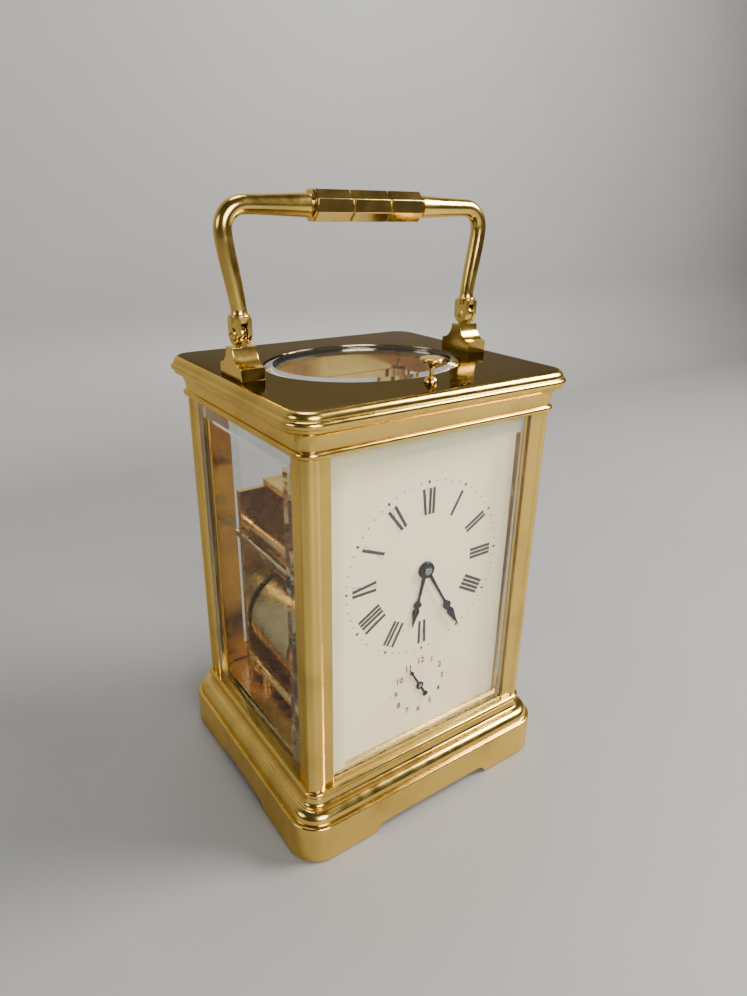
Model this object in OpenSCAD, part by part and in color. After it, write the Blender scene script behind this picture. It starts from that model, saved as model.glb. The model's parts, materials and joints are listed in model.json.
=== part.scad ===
// Carriage clock with a repeat button and an alarm dial.
// The origin is at the middle of the footprint, on the surface that the clock stands on.
// X runs to the right of the dial, Y runs to the back and Z runs up.

/* [Case] */
// Width over the corner pillars
case_w = 84.8; // [84:0.2:87]
// Depth over the corner pillars
case_d = 75.4; // [75:0.2:78]
// Height of the deck that the pillars stand on
deck_z = 21.5; // [21:0.1:22]
// Height of the underside of the cornice
cornice_z = 124.8; // [124:0.2:130]
// Radius of the round column at each corner
column_r = 3.0; // [2.6:0.1:3.2]
// Width of each pillar, column and flat fillet together
pillar_w = 7.9; // [7.6:0.1:8.2]
// Outward reach of the plinth past the pillars
plinth_reach = 5.9; // [5.4:0.1:6.4]
// Height of the cut-outs between the feet
foot_gap_h = 3.2; // [2:0.2:4.5]
// Thickness of the bevelled glasses
glass_t = 1.9; // [1.6:0.1:2]
// Width of the bevel round the glasses
bevel_w = 4.4; // [3:0.2:5]

/* [Handle] */
// Distance from the middle plane to each handle pivot
pivot_x = 39.4; // [39:0.1:39.8]
// Height of the pivots above the top plate
pivot_rise = 11.4; // [11.2:0.1:12.5]
// Height of the grip's middle above the pivots
grip_rise = 31.4; // [29:0.2:33]
// Length of the grip
grip_l = 37.0; // [32:0.5:40]
// Height of the octagonal grip across its flats
grip_af = 8.0; // [7:0.2:9]

/* [Dial and hands] */
// Height of the main dial's centre
dial_z = 81.8; // [81.4:0.1:82]
// Height of the alarm dial's centre
alarm_z = 40.0; // [39.5:0.1:40.5]
// Length of the minute hand from its centre
minute_l = 27.4; // [24:0.2:28]
// Length of the hour hand from its centre
hour_l = 19.0; // [16:0.2:20]
// Length of the alarm hand from its centre
alarm_l = 8.8; // [7:0.2:9]
// Hour that the clock shows
shown_hour = 6; // [0:1:11]
// Minutes that the clock shows
shown_minute = 25; // [0:1:59]
// Hour that the alarm hand points to
shown_alarm = 11; // [0:1:11]

/* [Movement] */
// Radius of the two spring barrels
barrel_r = 15.4; // [15:0.1:15.4]
// Front face of the front plate
front_plate_y = -22; // [-22.2:0.1:-21.8]
// Thickness of the two movement plates
plate_t = 2.0; // [1.6:0.1:2]
// Front face of the back plate
back_plate_y = 21; // [20.8:0.1:21.2]
// Width of the movement plates
plate_w = 67.0; // [66:0.5:68]

/* [Hidden] */

brass = [0.82, 0.63, 0.30];
pale_brass = [0.88, 0.74, 0.45];
steel = [0.62, 0.63, 0.65];
blued = [0.06, 0.07, 0.12];
enamel = [0.95, 0.92, 0.84];
clear_glass = [0.75, 0.86, 0.84, 0.35];

eps = 0.01;
running = 0.05;
$fn = 64;

// Case levels and outlines
hx = case_w / 2;
hy = case_d / 2;
corner_r = 3.5;
ring_in = -3.4;
top_z = cornice_z + 12.5;
ledge_z = deck_z - 2.2;
front_y = -hy;
glass_out = 0.4;
window_x = hx - pillar_w;
window_y = hy - pillar_w;
groove = 0.7;
screw_r = 1.0;
column_x = hx - column_r;
column_y = hy - column_r;

// Top plate openings
oval_a = 30;
oval_b = 24;
oval_rebate = 1.2;
button_y = -31.6;

// Door
door_gap = 0.15;
door_t = 2.6;
door_stile = 5;
door_y = hy - 1.7;
door_x = window_x - door_gap - door_t / 2;
door_z0 = deck_z + 0.3;
door_z1 = cornice_z - 0.3;
hinge_pin_r = 0.6;

// Handle
pivot_z = top_z + pivot_rise;
lug_t = 1.5;
cheek_t = 1.3;
cheek_gap = 0.15;
cheek_r = 2.8;
bend_x = 42.6;
bend_r = 6.0;
arm_r = 2.1;

// Dial and motion work
dial_y = front_y + 4.5;
dial_t = 0.8;
hour_angle = 30 * shown_hour + 0.5 * shown_minute;
minute_angle = 6 * shown_minute;
alarm_angle = 30 * shown_alarm;
cannon_r = 0.9;
hour_pipe_r = 1.4;
motion_d = 6.05;
motion_dir = -60;

// Trains: each arbor is placed from the one that it meshes with
mesh_slack = 0.05;
plate_in_y = front_plate_y + plate_t;
plate_top_z = 95;
train_dir = -59;
barrel_teeth = 76;
barrel_m = 0.40;
inter_pinion = 10;
inter_teeth = 60;
inter_m = 0.37;
centre_pinion = 10;
centre_teeth = 64;
centre_m = 0.30;
third_pinion = 8;
third_teeth = 60;
third_m = 0.24;
contrate_pinion = 8;
contrate_teeth = 60;
contrate_r = 5.5;
escape_teeth = 15;
strike_teeth = 64;
strike_m = 0.25;
fly_pinion = 7;
d_barrel = (barrel_teeth + inter_pinion) * barrel_m / 2 + mesh_slack;
d_inter = (inter_teeth + centre_pinion) * inter_m / 2 + mesh_slack;
d_centre = (centre_teeth + third_pinion) * centre_m / 2 + mesh_slack;
d_third = 8.75;
third_dir = 200;
contrate_dir = 110;
centre_at = [0, dial_z];
inter_at = polar(centre_at, d_inter, train_dir);
going_at = polar(centre_at, d_inter + d_barrel, train_dir);
third_at = polar(centre_at, d_centre, third_dir);
contrate_at = polar(third_at, d_third, contrate_dir);
strike_at = [-17.2, 47];
strike_dir = 106;
fly_dir = 107;
strike_wheel_at = polar(strike_at, d_barrel, strike_dir);
fly_at = polar(strike_wheel_at, (strike_teeth + fly_pinion) * strike_m / 2 + mesh_slack, fly_dir);
alarm_at = [0, alarm_z];
minute_at = polar(centre_at, motion_d, motion_dir);
pivot_r = 0.5;
drum_y0 = -6;
drum_y1 = 19.5;
drum_wall = 1.2;
great_y = -8.5;
ratchet_teeth = 18;
ratchet_r = 5.6;
ratchet_y = back_plate_y + plate_t + 0.3;
square_end_y = 27.6;
going_click_at = [going_at[0] + 7.6, going_at[1] + 6.2];
strike_click_at = [strike_at[0] + 7.6, strike_at[1] + 6.2];
click_r = 1.6;

// Platform, escapement and balance
platform_z = plate_top_z;
platform_t = 2;
escape_y = 7.63;
escape_at = [contrate_at[0], escape_y];
lever_at = [escape_at[0] + 6.4, escape_y];
balance_at = [escape_at[0] + 12.6, escape_y];
platform_top = platform_z + platform_t;
balance_r = 7.2;

// Strike work
hammer_at = [-30.6, 76.5];
gong_at = [3, 60];
gong_y = 29;
gong_wire = 0.8;
gong_pitch = 3.2;
gong_turns = 7;
gong_r0 = 8;

movement_posts = [[-29.6, 26.5], [29.6, 26.5], [-29.6, 82.5], [29.6, 82.5]];

// ---------- helpers ----------

function polar(c, r, a) = [c[0] + r * cos(a), c[1] + r * sin(a)];

function arc(cx, cy, rx, ry, a0, a1, n) =
    [for (i = [0:n]) let (a = a0 + (a1 - a0) * i / n) [cx + rx * cos(a), cy + ry * sin(a)]];

function gear_points(n, m, fill, turn, add = 0.85, ded = 1.25) =
    let (r = n * m / 2, w = 180 / n * fill)
    [for (i = [0:n - 1], k = [0:5])
        let (a = turn + 360 * i / n,
            rr = [r - ded * m, r, r + add * m, r + add * m, r, r - ded * m][k],
            da = [-1.25, -1, -0.5, 0.5, 1, 1.25][k] * w)
        [rr * cos(a + da), rr * sin(a + da)]];

// Draws its children in the XZ plane and makes them solid from y0 to y1
module along_y(y0, y1) {
    translate([0, y1, 0])
        rotate([90, 0, 0])
            linear_extrude(height = y1 - y0)
                children();
}

// A round bar or bore along Y, at an [x, z] place
module rod_y(at, r, y0, y1) {
    translate([at[0], y0, at[1]])
        rotate([-90, 0, 0])
            cylinder(r = r, h = y1 - y0);
}

module rod_x(x0, x1, y, z, r) {
    translate([x0, y, z])
        rotate([0, 90, 0])
            cylinder(r = r, h = x1 - x0);
}

module box(x0, x1, y0, y1, z0, z1) {
    translate([x0, y0, z0])
        cube([x1 - x0, y1 - y0, z1 - z0]);
}

// A moulding that runs round the case; its section is given as [reach past the pillars, height]
module moulding(section) {
    for (side = [0, 180]) {
        rotate([0, 0, side])
            along_y(-(hy - corner_r), hy - corner_r)
                translate([hx, 0])
                    polygon(section);
        rotate([0, 0, side + 90])
            along_y(-(hx - corner_r), hx - corner_r)
                translate([hy, 0])
                    polygon(section);
    }
    for (sx = [-1, 1], sy = [-1, 1])
        translate([sx * (hx - corner_r), sy * (hy - corner_r), 0])
            rotate([0, 0, sy > 0 ? (sx > 0 ? 0 : 90) : (sx > 0 ? 270 : 180)])
                rotate_extrude(angle = 90)
                    translate([corner_r, 0])
                        polygon(section);
}

module gear(at, n, m, fill, turn, y0, y1, bore) {
    translate([at[0], 0, at[1]])
        along_y(y0, y1)
            difference() {
                polygon(gear_points(n, m, fill, turn));
                circle(r = bore, $fn = 12);
            }
}

// ---------- case ----------

base_section = concat(
    [[ring_in, 0], [plinth_reach, 0]],
    arc(plinth_reach - 0.7, 12.3, 0.7, 0.7, 0, 90, 4),
    [[4.7, 13.0]],
    arc(1.7, 13.6, 3.0, 3.0, 0, 90, 6),
    arc(1.5, deck_z - 2.1, -1.2, -2.8, 90, 0, 5),
    arc(0.2, deck_z - 1.0, 1.0, 1.0, -80, 90, 7),
    [[ring_in, deck_z]]);

module base() {
    color(brass)
        difference() {
            union() {
                moulding(base_section);
                difference() {
                    box(-hx + 3, hx - 3, -hy + 3, hy - 3, 12, ledge_z);
                    box(-hx + 7, hx - 7, -hy + 7, hy - 7, 11, ledge_z + 1);
                }
            }
            along_y(-60, 60)
                foot_gap(24.6);
            rotate([0, 0, 90])
                along_y(-60, 60)
                    foot_gap(17.8);
            for (sx = [-1, 1], sy = [-1, 1])
                translate([sx * column_x, sy * column_y, 0]) {
                    translate([0, 0, -1])
                        cylinder(r = 2.2, h = 16);
                    cylinder(r = screw_r + running, h = deck_z + 1);
                }
            translate([door_x, door_y, deck_z - 3])
                cylinder(r = hinge_pin_r, h = 4);
        }
}

module foot_gap(half) {
    polygon([[-half, -1], [-half, 0], [-half + 1.6, 0.7], [-half + 3.4, foot_gap_h - 0.5],
        [-half + 5, foot_gap_h], [half - 5, foot_gap_h], [half - 3.4, foot_gap_h - 0.5],
        [half - 1.6, 0.7], [half, 0], [half, -1]]);
}

module bottom_plate() {
    inset = 3.6;
    color(brass)
        difference() {
            box(-hx + inset, hx - inset, -hy + inset, hy - inset, ledge_z, deck_z);
            for (p = movement_posts)
                if (p[1] < 40)
                    for (y = [-14, 15])
                        translate([p[0], y, ledge_z - 1])
                            cylinder(r = screw_r + running, h = 4);
            translate([22, 28.6, ledge_z - 1])
                cylinder(r = screw_r + running, h = 4);
        }
}

// One corner pillar, drawn for the corner with positive X and Y
module pillar(rear) {
    fillet_in = column_r + 0.6;
    back_in = rear ? 1.6 : 0.6;
    difference() {
        union() {
            translate([0, 0, deck_z])
                linear_extrude(height = cornice_z - deck_z)
                    difference() {
                        union() {
                            translate([column_x, column_y])
                                circle(r = column_r);
                            translate([hx - pillar_w, hy - fillet_in])
                                square([pillar_w - column_r, fillet_in - back_in]);
                            translate([hx - fillet_in, hy - pillar_w])
                                square([fillet_in - 0.6, pillar_w - column_r]);
                        }
                        if (!rear)
                            translate([window_x - 1, hy - glass_out - glass_t - 0.1])
                                square([1 + groove + 0.1, 1.3]);
                        translate([hx - glass_out - glass_t - 0.1, window_y - 1])
                            square([1.3, 1 + groove + 0.1]);
                    }
            translate([column_x, column_y, cornice_z - eps])
                cylinder(r = 1.2, h = 3);
        }
        translate([column_x, column_y, deck_z - 1])
            cylinder(r = screw_r + running, h = 8);
    }
}

module place_pillar(sx, sy) {
    color(brass)
        mirror([sx < 0 ? 1 : 0, 0, 0])
            mirror([0, sy < 0 ? 1 : 0, 0])
                pillar(sy > 0);
}

cornice_section = concat(
    [[ring_in, cornice_z]],
    arc(0.4, cornice_z + 1.1, 1.0, 1.0, -90, 90, 7),
    arc(3.4, cornice_z + 2.3, -2.9, 5.3, 0, 90, 6),
    [[3.6, cornice_z + 7.6], [3.6, cornice_z + 8.2]],
    arc(3.3, cornice_z + 9.3, 1.1, 1.1, -75, 75, 6),
    [[3.5, cornice_z + 10.5]],
    arc(1.5, cornice_z + 10.6, 2.0, 1.9, 0, 90, 5),
    [[ring_in, top_z]]);

module oval(a, b) {
    polygon(arc(0, 0, a, b, 0, 354, 59));
}

module top_frame() {
    color(brass)
        difference() {
            union() {
                moulding(cornice_section);
                box(-hx + 3, hx - 3, -hy + 3, hy - 3, top_z - 3, top_z);
                difference() {
                    box(-hx + 3, hx - 3, -hy + 3, hy - 3, cornice_z, cornice_z + 4.5);
                    box(-hx + 5.5, hx - 5.5, -hy + 5.5, hy - 5.5, cornice_z - 1, cornice_z + 5);
                }
            }
            translate([0, 0, top_z - 5])
                linear_extrude(height = 6)
                    oval(oval_a, oval_b);
            translate([0, 0, top_z - 1.4])
                linear_extrude(height = 2)
                    oval(oval_a + oval_rebate, oval_b + oval_rebate);
            translate([0, button_y, top_z - 5])
                cylinder(r = 1.5, h = 6);
            for (sx = [-1, 1], sy = [-1, 1])
                translate([sx * column_x, sy * column_y, cornice_z - 1])
                    cylinder(r = 1.2 + running, h = 4.2);
            for (sx = [-1, 1])
                translate([sx * (pivot_x - 1.8), 0, top_z - 5])
                    cylinder(r = 0.9 + running, h = 6);
            translate([door_x, door_y, cornice_z - 1])
                cylinder(r = hinge_pin_r, h = 3.5);
        }
}

module top_glass() {
    a = oval_a + oval_rebate - 0.1;
    b = oval_b + oval_rebate - 0.1;
    color(clear_glass)
        union() {
            translate([0, 0, top_z - 1.4])
                linear_extrude(height = 1)
                    oval(a, b);
            translate([0, 0, top_z - 0.4 - eps])
                linear_extrude(height = 0.8)
                    oval(a - bevel_w, b - bevel_w);
        }
}

// A bevelled pane, drawn in the XZ plane with its outer face at y = 0 and its body towards +Y
module pane(half_w, z0, z1, tongue) {
    b = bevel_w;
    difference() {
        box(-half_w - tongue, half_w + tongue, 0, glass_t, z0, z1);
        for (s = [-1, 1])
            translate([s * half_w, 0, 0])
                linear_extrude(height = 400, center = true)
                    polygon([[-s * b, 0], [-s * b, -1], [s * 3, -1], [s * 3, 0.8], [0, 0.8]]);
        rotate([0, 90, 0])
            linear_extrude(height = 400, center = true) {
                polygon([[-z1 - 1, -1], [-z1 + b, -1], [-z1 + b, 0], [-z1, 0.8], [-z1 - 1, 0.8]]);
                polygon([[-z0 + 1, -1], [-z0 - b, -1], [-z0 - b, 0], [-z0, 0.8], [-z0 + 1, 0.8]]);
            }
    }
}

module front_glass() {
    color(clear_glass)
        translate([0, front_y + glass_out, 0])
            pane(window_x, deck_z + 0.05, cornice_z - 0.05, groove);
}

module side_glass(s) {
    color(clear_glass)
        rotate([0, 0, s * 90])
            translate([0, -hx + glass_out, 0])
                pane(window_y, deck_z + 0.05, cornice_z - 0.05, groove);
}

// ---------- rear door ----------

module door_frame() {
    inner_x = door_x + door_t / 2 - door_stile;
    left_x = -window_x + door_gap;
    color(brass)
        difference() {
            union() {
                box(left_x, door_x, door_y - door_t / 2, door_y + door_t / 2, door_z0, door_z1);
                translate([door_x, door_y, door_z0])
                    cylinder(r = door_t / 2, h = door_z1 - door_z0);
            }
            box(left_x + door_stile, inner_x, door_y - 5, door_y + 5,
                door_z0 + door_stile, door_z1 - door_stile);
            box(left_x + door_stile - 1, inner_x + 1, door_y - 0.5, door_y + 0.6,
                door_z0 + door_stile - 1, door_z1 - door_stile + 1);
            translate([door_x, door_y, door_z0 - 1])
                cylinder(r = hinge_pin_r + running, h = 5);
            translate([door_x, door_y, door_z1 - 4])
                cylinder(r = hinge_pin_r + running, h = 5);
            rod_y([left_x + door_stile / 2, dial_z - 8.5], 0.8, door_y - 0.4, door_y + 3);
        }
}

module door_glass() {
    inner_x = door_x + door_t / 2 - door_stile;
    left_x = -window_x + door_gap;
    color(clear_glass)
        union() {
            box(left_x + door_stile - 0.95, inner_x + 0.95, door_y - 0.45, door_y + 0.55,
                door_z0 + door_stile - 0.95, door_z1 - door_stile + 0.95);
            box(left_x + door_stile + bevel_w, inner_x - bevel_w, door_y + 0.5, door_y + 1.2,
                door_z0 + door_stile + bevel_w, door_z1 - door_stile - bevel_w);
        }
}

module door_knob() {
    x = -window_x + door_gap + door_stile / 2;
    face = door_y + door_t / 2;
    color(pale_brass)
        translate([x, door_y - 0.4, dial_z - 8.5])
            rotate([-90, 0, 0])
                rotate_extrude()
                    polygon([[0, 0], [0.8, 0], [0.8, 1.7], [1.6, 1.7], [1.6, 2.1], [0.9, 2.6],
                        [1.1, 3.2], [2.0, 4.0], [2.1, 4.6], [1.6, 5.1], [0, 5.3]]);
}

module door_hinge_pins() {
    color(steel)
        union() {
            translate([door_x, door_y, deck_z - 2.9])
                cylinder(r = hinge_pin_r, h = 6.9);
            translate([door_x, door_y, door_z1 - 3.8])
                cylinder(r = hinge_pin_r, h = 6.5);
        }
}

// Screws of the case, the movement, the gong and the handle brackets
module case_screws() {
    color(steel)
        union() {
            for (sx = [-1, 1], sy = [-1, 1])
                translate([sx * column_x, sy * column_y, 13.6]) {
                    cylinder(r = 1.9, h = 1.4);
                    cylinder(r = screw_r, h = deck_z - 13.6 + 6);
                }
            for (p = movement_posts)
                if (p[1] < 40)
                    for (y = [-14, 15])
                        translate([p[0], y, ledge_z - 1.4]) {
                            cylinder(r = 1.7, h = 1.4);
                            cylinder(r = screw_r, h = 4.8);
                        }
            for (sx = [-1, 1])
                translate([sx * (pivot_x - 1.8), 0, top_z - 4.2]) {
                    cylinder(r = 1.3, h = 1.2);
                    cylinder(r = 0.9, h = 6.4);
                }
            translate([22, 28.6, ledge_z - 1.4]) {
                cylinder(r = 1.7, h = 1.4);
                cylinder(r = screw_r, h = 6);
            }
        }
}

// ---------- handle ----------

bracket_section = concat(
    [[-6.5, 0], [6.5, 0], [6.5, 3.1]],
    arc(6.5, 8.0, -4.4, -4.6, 90, 0, 5),
    [[2.1, 8.2], [-2.1, 8.2]],
    arc(-6.5, 8.0, 4.4, -4.6, 0, 90, 5));

module bracket(s) {
    color(brass)
        difference() {
            union() {
                translate([s * pivot_x - 3.5, 0, top_z])
                    rotate([90, 0, 90])
                        linear_extrude(height = 7)
                            polygon(bracket_section);
                box(s * pivot_x - lug_t / 2, s * pivot_x + lug_t / 2, -2.1, 2.1,
                    top_z + 8, pivot_z);
                rod_x(s * pivot_x - lug_t / 2, s * pivot_x + lug_t / 2, 0, pivot_z, 2.6);
            }
            rod_x(s * pivot_x - 2, s * pivot_x + 2, 0, pivot_z, 0.9 + running);
            translate([s * (pivot_x - 1.8), 0, top_z - 1])
                cylinder(r = 0.9 + running, h = 3.4);
        }
}

function arm_lean(k) = [pivot_x + (bend_x - pivot_x) * sin(90 * k), 5.6 + (grip_rise - bend_r - 5.6) * k];

// One arm of the handle, drawn for the right side about its pivot
module arm() {
    steps = 5;
    outer = lug_t / 2 + cheek_gap + cheek_t;
    grip_end = grip_l / 2;
    difference() {
        union() {
            for (side = [-1, 1])
                translate([side > 0 ? pivot_x + lug_t / 2 + cheek_gap : pivot_x - outer, 0, 0]) {
                    rod_x(0, cheek_t, 0, 0, cheek_r);
                    translate([0, -cheek_r, 0])
                        cube([cheek_t, 2 * cheek_r, 4.2]);
                }
            translate([pivot_x, 0, 3.4])
                cylinder(r1 = 2.6, r2 = 3.1, h = 0.8);
            translate([pivot_x, 0, 4.2])
                cylinder(r = 3.3, h = 1.2);
            translate([pivot_x, 0, 5.4])
                cylinder(r1 = 2.9, r2 = 2.0, h = 0.9);
            for (i = [0:steps - 1])
                link(arm_lean(i / steps), arm_lean((i + 1) / steps), 1.9 + 0.06 * i);
            translate([bend_x - bend_r, 0, grip_rise - bend_r])
                rotate([90, 0, 0])
                    rotate_extrude(angle = 90)
                        translate([bend_r, 0])
                            circle(r = arm_r + 0.2);
            translate([grip_end, 0, grip_rise])
                rotate([0, 90, 0])
                    cylinder(r1 = 2.9, r2 = arm_r + 0.2, h = bend_x - bend_r - grip_end + eps);
            rod_x(grip_end - 5, grip_end + eps, 0, grip_rise, 1.6);
        }
        rod_x(pivot_x - 5, pivot_x + 5, 0, 0, 0.9);
    }
}

module link(a, b, r) {
    lean = atan2(b[0] - a[0], b[1] - a[1]);
    translate([a[0], 0, a[1]]) {
        rotate([0, lean, 0])
            cylinder(r = r, h = norm(b - a));
        sphere(r = r);
    }
}

module handle_arm(s) {
    color(brass)
        translate([0, 0, pivot_z])
            mirror([s < 0 ? 1 : 0, 0, 0])
                arm();
}

module handle_grip() {
    flat_to_corner = 1 / cos(22.5);
    cut = 0.6;
    color(pale_brass)
        translate([0, 0, pivot_z + grip_rise])
            rotate([0, 90, 0])
                difference() {
                    rotate([0, 0, 22.5])
                        cylinder(r = grip_af / 2 * flat_to_corner, h = grip_l, center = true, $fn = 8);
                    for (z = [-grip_l / 6, grip_l / 6])
                        translate([0, 0, z])
                            rotate_extrude()
                                polygon([[grip_af / 2 - cut, 0], [grip_af / 2 + 1, -0.8],
                                    [grip_af / 2 + 1, 0.8]]);
                    for (e = [-1, 1])
                        translate([0, 0, e * (grip_l / 2 - 5.2)])
                            cylinder(r = 1.6, h = 10.4, center = true);
                }
}

module handle_pivot_screws() {
    half = lug_t / 2 + cheek_gap + cheek_t;
    color(pale_brass)
        union()
            for (s = [-1, 1]) {
                rod_x(s * pivot_x - half, s * pivot_x + half, 0, pivot_z, 0.9);
                rod_x(s * (pivot_x + half) - (s < 0 ? 0.6 : 0), s * (pivot_x + half) + (s < 0 ? 0 : 0.6),
                    0, pivot_z, 1.5);
            }
}

// ---------- repeat work ----------

module repeat_button() {
    color(pale_brass)
        translate([0, button_y, 0])
            rotate_extrude()
                polygon([[0, 98], [0.6, 98], [0.6, top_z + 3.6], [1.0, top_z + 4.3],
                    [1.5, top_z + 5.2], [3.2, top_z + 5.7], [3.3, top_z + 6.1],
                    [3.1, top_z + 6.6], [2.0, top_z + 6.9], [0, top_z + 7.0]]);
}

module button_bush() {
    color(pale_brass)
        translate([0, button_y, top_z])
            rotate_extrude()
                polygon(concat([[0.6 + running, -3.8], [1.5, -3.8], [1.5, 0]],
                    arc(0, 0, 1.9, 1.8, 0, 65, 5),
                    [[0.6 + running, 1.6]]));
}

lever_pivot = [11, 93];

// The rocking lever that the button's stem pushes down
module repeat_lever() {
    color(steel)
        union() {
            difference() {
                along_y(front_plate_y - 2.2, front_plate_y - 1.2)
                    difference() {
                        polygon([[11, 96], [6, 97.4], [1.6, 97.6], [-1.6, 97.6], [-1.6, 96.4],
                            [5, 96], [9, 93.6], [9.6, 91], [13, 90.4], [20, 80], [21.4, 80.8],
                            [14.4, 92.6], [13, 95.2]]);
                        translate(lever_pivot)
                            circle(r = 1.0 + running);
                    }
            }
            box(-1.6, 1.6, button_y - 0.6, front_plate_y - 1.7, 96.4, 97.6);
        }
}

// ---------- dial and hands ----------

module dial() {
    color(enamel)
        difference() {
            union() {
                box(-window_x + 0.3, window_x - 0.3, dial_y, dial_y + dial_t, deck_z, cornice_z - 0.2);
                for (sx = [-1, 1], z = [30, 91])
                    rod_y([sx * 30, z], 1.2, dial_y + dial_t - eps, front_plate_y);
            }
            rod_y(centre_at, 2.0, dial_y - 1, dial_y + 2);
            rod_y(alarm_at, 1.2, dial_y - 1, dial_y + 2);
        }
}

// Turns its children about a centre, clockwise on the dial, from the upright
module hand_at(at, turn, y0, y1) {
    translate([at[0], 0, at[1]])
        along_y(y0, y1)
            rotate(-turn)
                children();
}

function blade(l, w) = [[-w, 0], [-w * 0.8, l * 0.55], [-w * 2.1, l * 0.62], [-w * 0.8, l * 0.66],
    [-w * 2.4, l * 0.72], [-w * 1.2, l * 0.8], [-w * 0.3, l], [w * 0.3, l], [w * 1.2, l * 0.8],
    [w * 2.4, l * 0.72], [w * 0.8, l * 0.66], [w * 2.1, l * 0.62], [w * 0.8, l * 0.55], [w, 0]];

module minute_hand() {
    y0 = front_y + 3.1;
    color(blued)
        difference() {
            union() {
                rod_y(centre_at, 2.6, y0, y0 + 0.35);
                hand_at(centre_at, minute_angle, y0, y0 + 0.35)
                    polygon(blade(minute_l, 0.5));
            }
            rod_y(centre_at, 0.75, y0 - 1, y0 + 1);
        }
}

module hour_hand() {
    y0 = front_y + 3.8;
    color(blued)
        difference() {
            union() {
                rod_y(centre_at, 2.7, y0, y0 + 0.35);
                hand_at(centre_at, hour_angle, y0, y0 + 0.35)
                    polygon(blade(hour_l, 0.6));
            }
            rod_y(centre_at, hour_pipe_r, y0 - 1, y0 + 1);
        }
}

module alarm_hand() {
    y0 = front_y + 3.9;
    color(blued)
        difference() {
            union() {
                rod_y(alarm_at, 1.4, y0, y0 + 0.3);
                hand_at(alarm_at, alarm_angle, y0, y0 + 0.3)
                    polygon([[-0.3, 0], [-0.25, alarm_l * 0.7], [-0.8, alarm_l * 0.8], [0, alarm_l],
                        [0.8, alarm_l * 0.8], [0.25, alarm_l * 0.7], [0.3, 0], [0.5, -5.4], [-0.5, -5.4]]);
            }
            rod_y(alarm_at, 0.7, y0 - 1, y0 + 1);
        }
}

module hand_collet() {
    color(pale_brass)
        translate([0, front_y + 2.55, dial_z])
            rotate([-90, 0, 0])
                difference() {
                    union() {
                        cylinder(r1 = 0.8, r2 = 1.3, h = 0.25);
                        translate([0, 0, 0.25 - eps])
                            cylinder(r = 1.3, h = 0.3 + eps);
                    }
                    translate([0, 0, 0.24])
                        cylinder(r = 0.5, h = 1);
                }
}

// ---------- movement frame ----------

module plate(y0) {
    box(-plate_w / 2, plate_w / 2, y0, y0 + plate_t, deck_z, plate_top_z);
}

module front_plate() {
    y0 = front_plate_y - 1;
    y1 = plate_in_y + 1;
    color(pale_brass)
        difference() {
            plate(front_plate_y);
            rod_y(centre_at, cannon_r + running, y0, y1);
            rod_y(alarm_at, 0.7 + running, y0, y1);
            for (at = [going_at, strike_at])
                rod_y(at, 1.5 + running, y0, y1);
            for (at = [inter_at, third_at, contrate_at, strike_wheel_at, fly_at, hammer_at])
                rod_y(at, pivot_r + running, y0, y1);
            for (p = movement_posts)
                rod_y(p, screw_r, y0, y1);
            rod_y(minute_at, 0.6, y0, y1);
            rod_y(lever_pivot, 1.0, y0, y1);
        }
}

module back_plate() {
    y0 = back_plate_y - 1;
    y1 = back_plate_y + plate_t + 1;
    color(pale_brass)
        difference() {
            plate(back_plate_y);
            rod_y(alarm_at, 0.7 + running, y0, y1);
            rod_y(centre_at, pivot_r + running, y0, y1);
            for (at = [going_at, strike_at])
                rod_y(at, 1.5 + running, y0, y1);
            for (at = [inter_at, third_at, contrate_at, strike_wheel_at, fly_at])
                rod_y(at, pivot_r + running, y0, y1);
            rod_y(hammer_at, 0.8 + running, y0, y1);
            for (p = movement_posts)
                rod_y(p, screw_r, y0, y1);
            for (at = [going_click_at, strike_click_at])
                rod_y(at, 0.6, y0, y1);
        }
}

module movement_pillars() {
    color(pale_brass)
        difference() {
            union() {
                for (p = movement_posts) {
                    rod_y(p, 1.7, plate_in_y, back_plate_y);
                    for (y = [plate_in_y, back_plate_y - 3])
                        rod_y(p, 2.5, y, y + 3);
                    if (p[1] < 40)
                        for (y = [-14, 15])
                            translate([p[0], y, deck_z])
                                cylinder(r = 1.9, h = p[1] - deck_z);
                }
                rod_y(minute_at, 0.6, front_plate_y - 5.6, plate_in_y);
                rod_y(lever_pivot, 1.0, front_plate_y - 3, plate_in_y);
                for (at = [going_click_at, strike_click_at])
                    rod_y(at, 0.6, back_plate_y, ratchet_y + 1.4);
            }
            for (p = movement_posts) {
                rod_y(p, screw_r, plate_in_y - 1, plate_in_y + 4);
                rod_y(p, screw_r, back_plate_y - 4, back_plate_y + 1);
                if (p[1] < 40)
                    for (y = [-14, 15])
                        translate([p[0], y, deck_z - 1])
                            cylinder(r = screw_r + running, h = 3.6);
            }
        }
}

module plate_screws() {
    color(steel)
        union()
            for (p = movement_posts) {
                rod_y(p, 1.8, front_plate_y - 1.1, front_plate_y);
                rod_y(p, screw_r, front_plate_y - eps, plate_in_y + 3.5);
                rod_y(p, 1.8, back_plate_y + plate_t, back_plate_y + plate_t + 1.1);
                rod_y(p, screw_r, back_plate_y - 3.5, back_plate_y + plate_t + eps);
            }
}

// ---------- spring barrels ----------

module barrel(at, turn) {
    color([0.72, 0.70, 0.55])
        difference() {
            union() {
                rod_y(at, barrel_r, drum_y0, drum_y1);
                rod_y(at, barrel_r - 1.2, great_y + 1.4, drum_y0 + eps);
                gear(at, barrel_teeth, barrel_m, 0.44, turn, great_y, great_y + 1.5, 1.5 + running);
            }
            rod_y(at, barrel_r - drum_wall, drum_y0 + 0.2, drum_y1 - drum_wall);
            rod_y(at, 1.5 + running, great_y - 1, drum_y1 + 1);
        }
}

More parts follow.
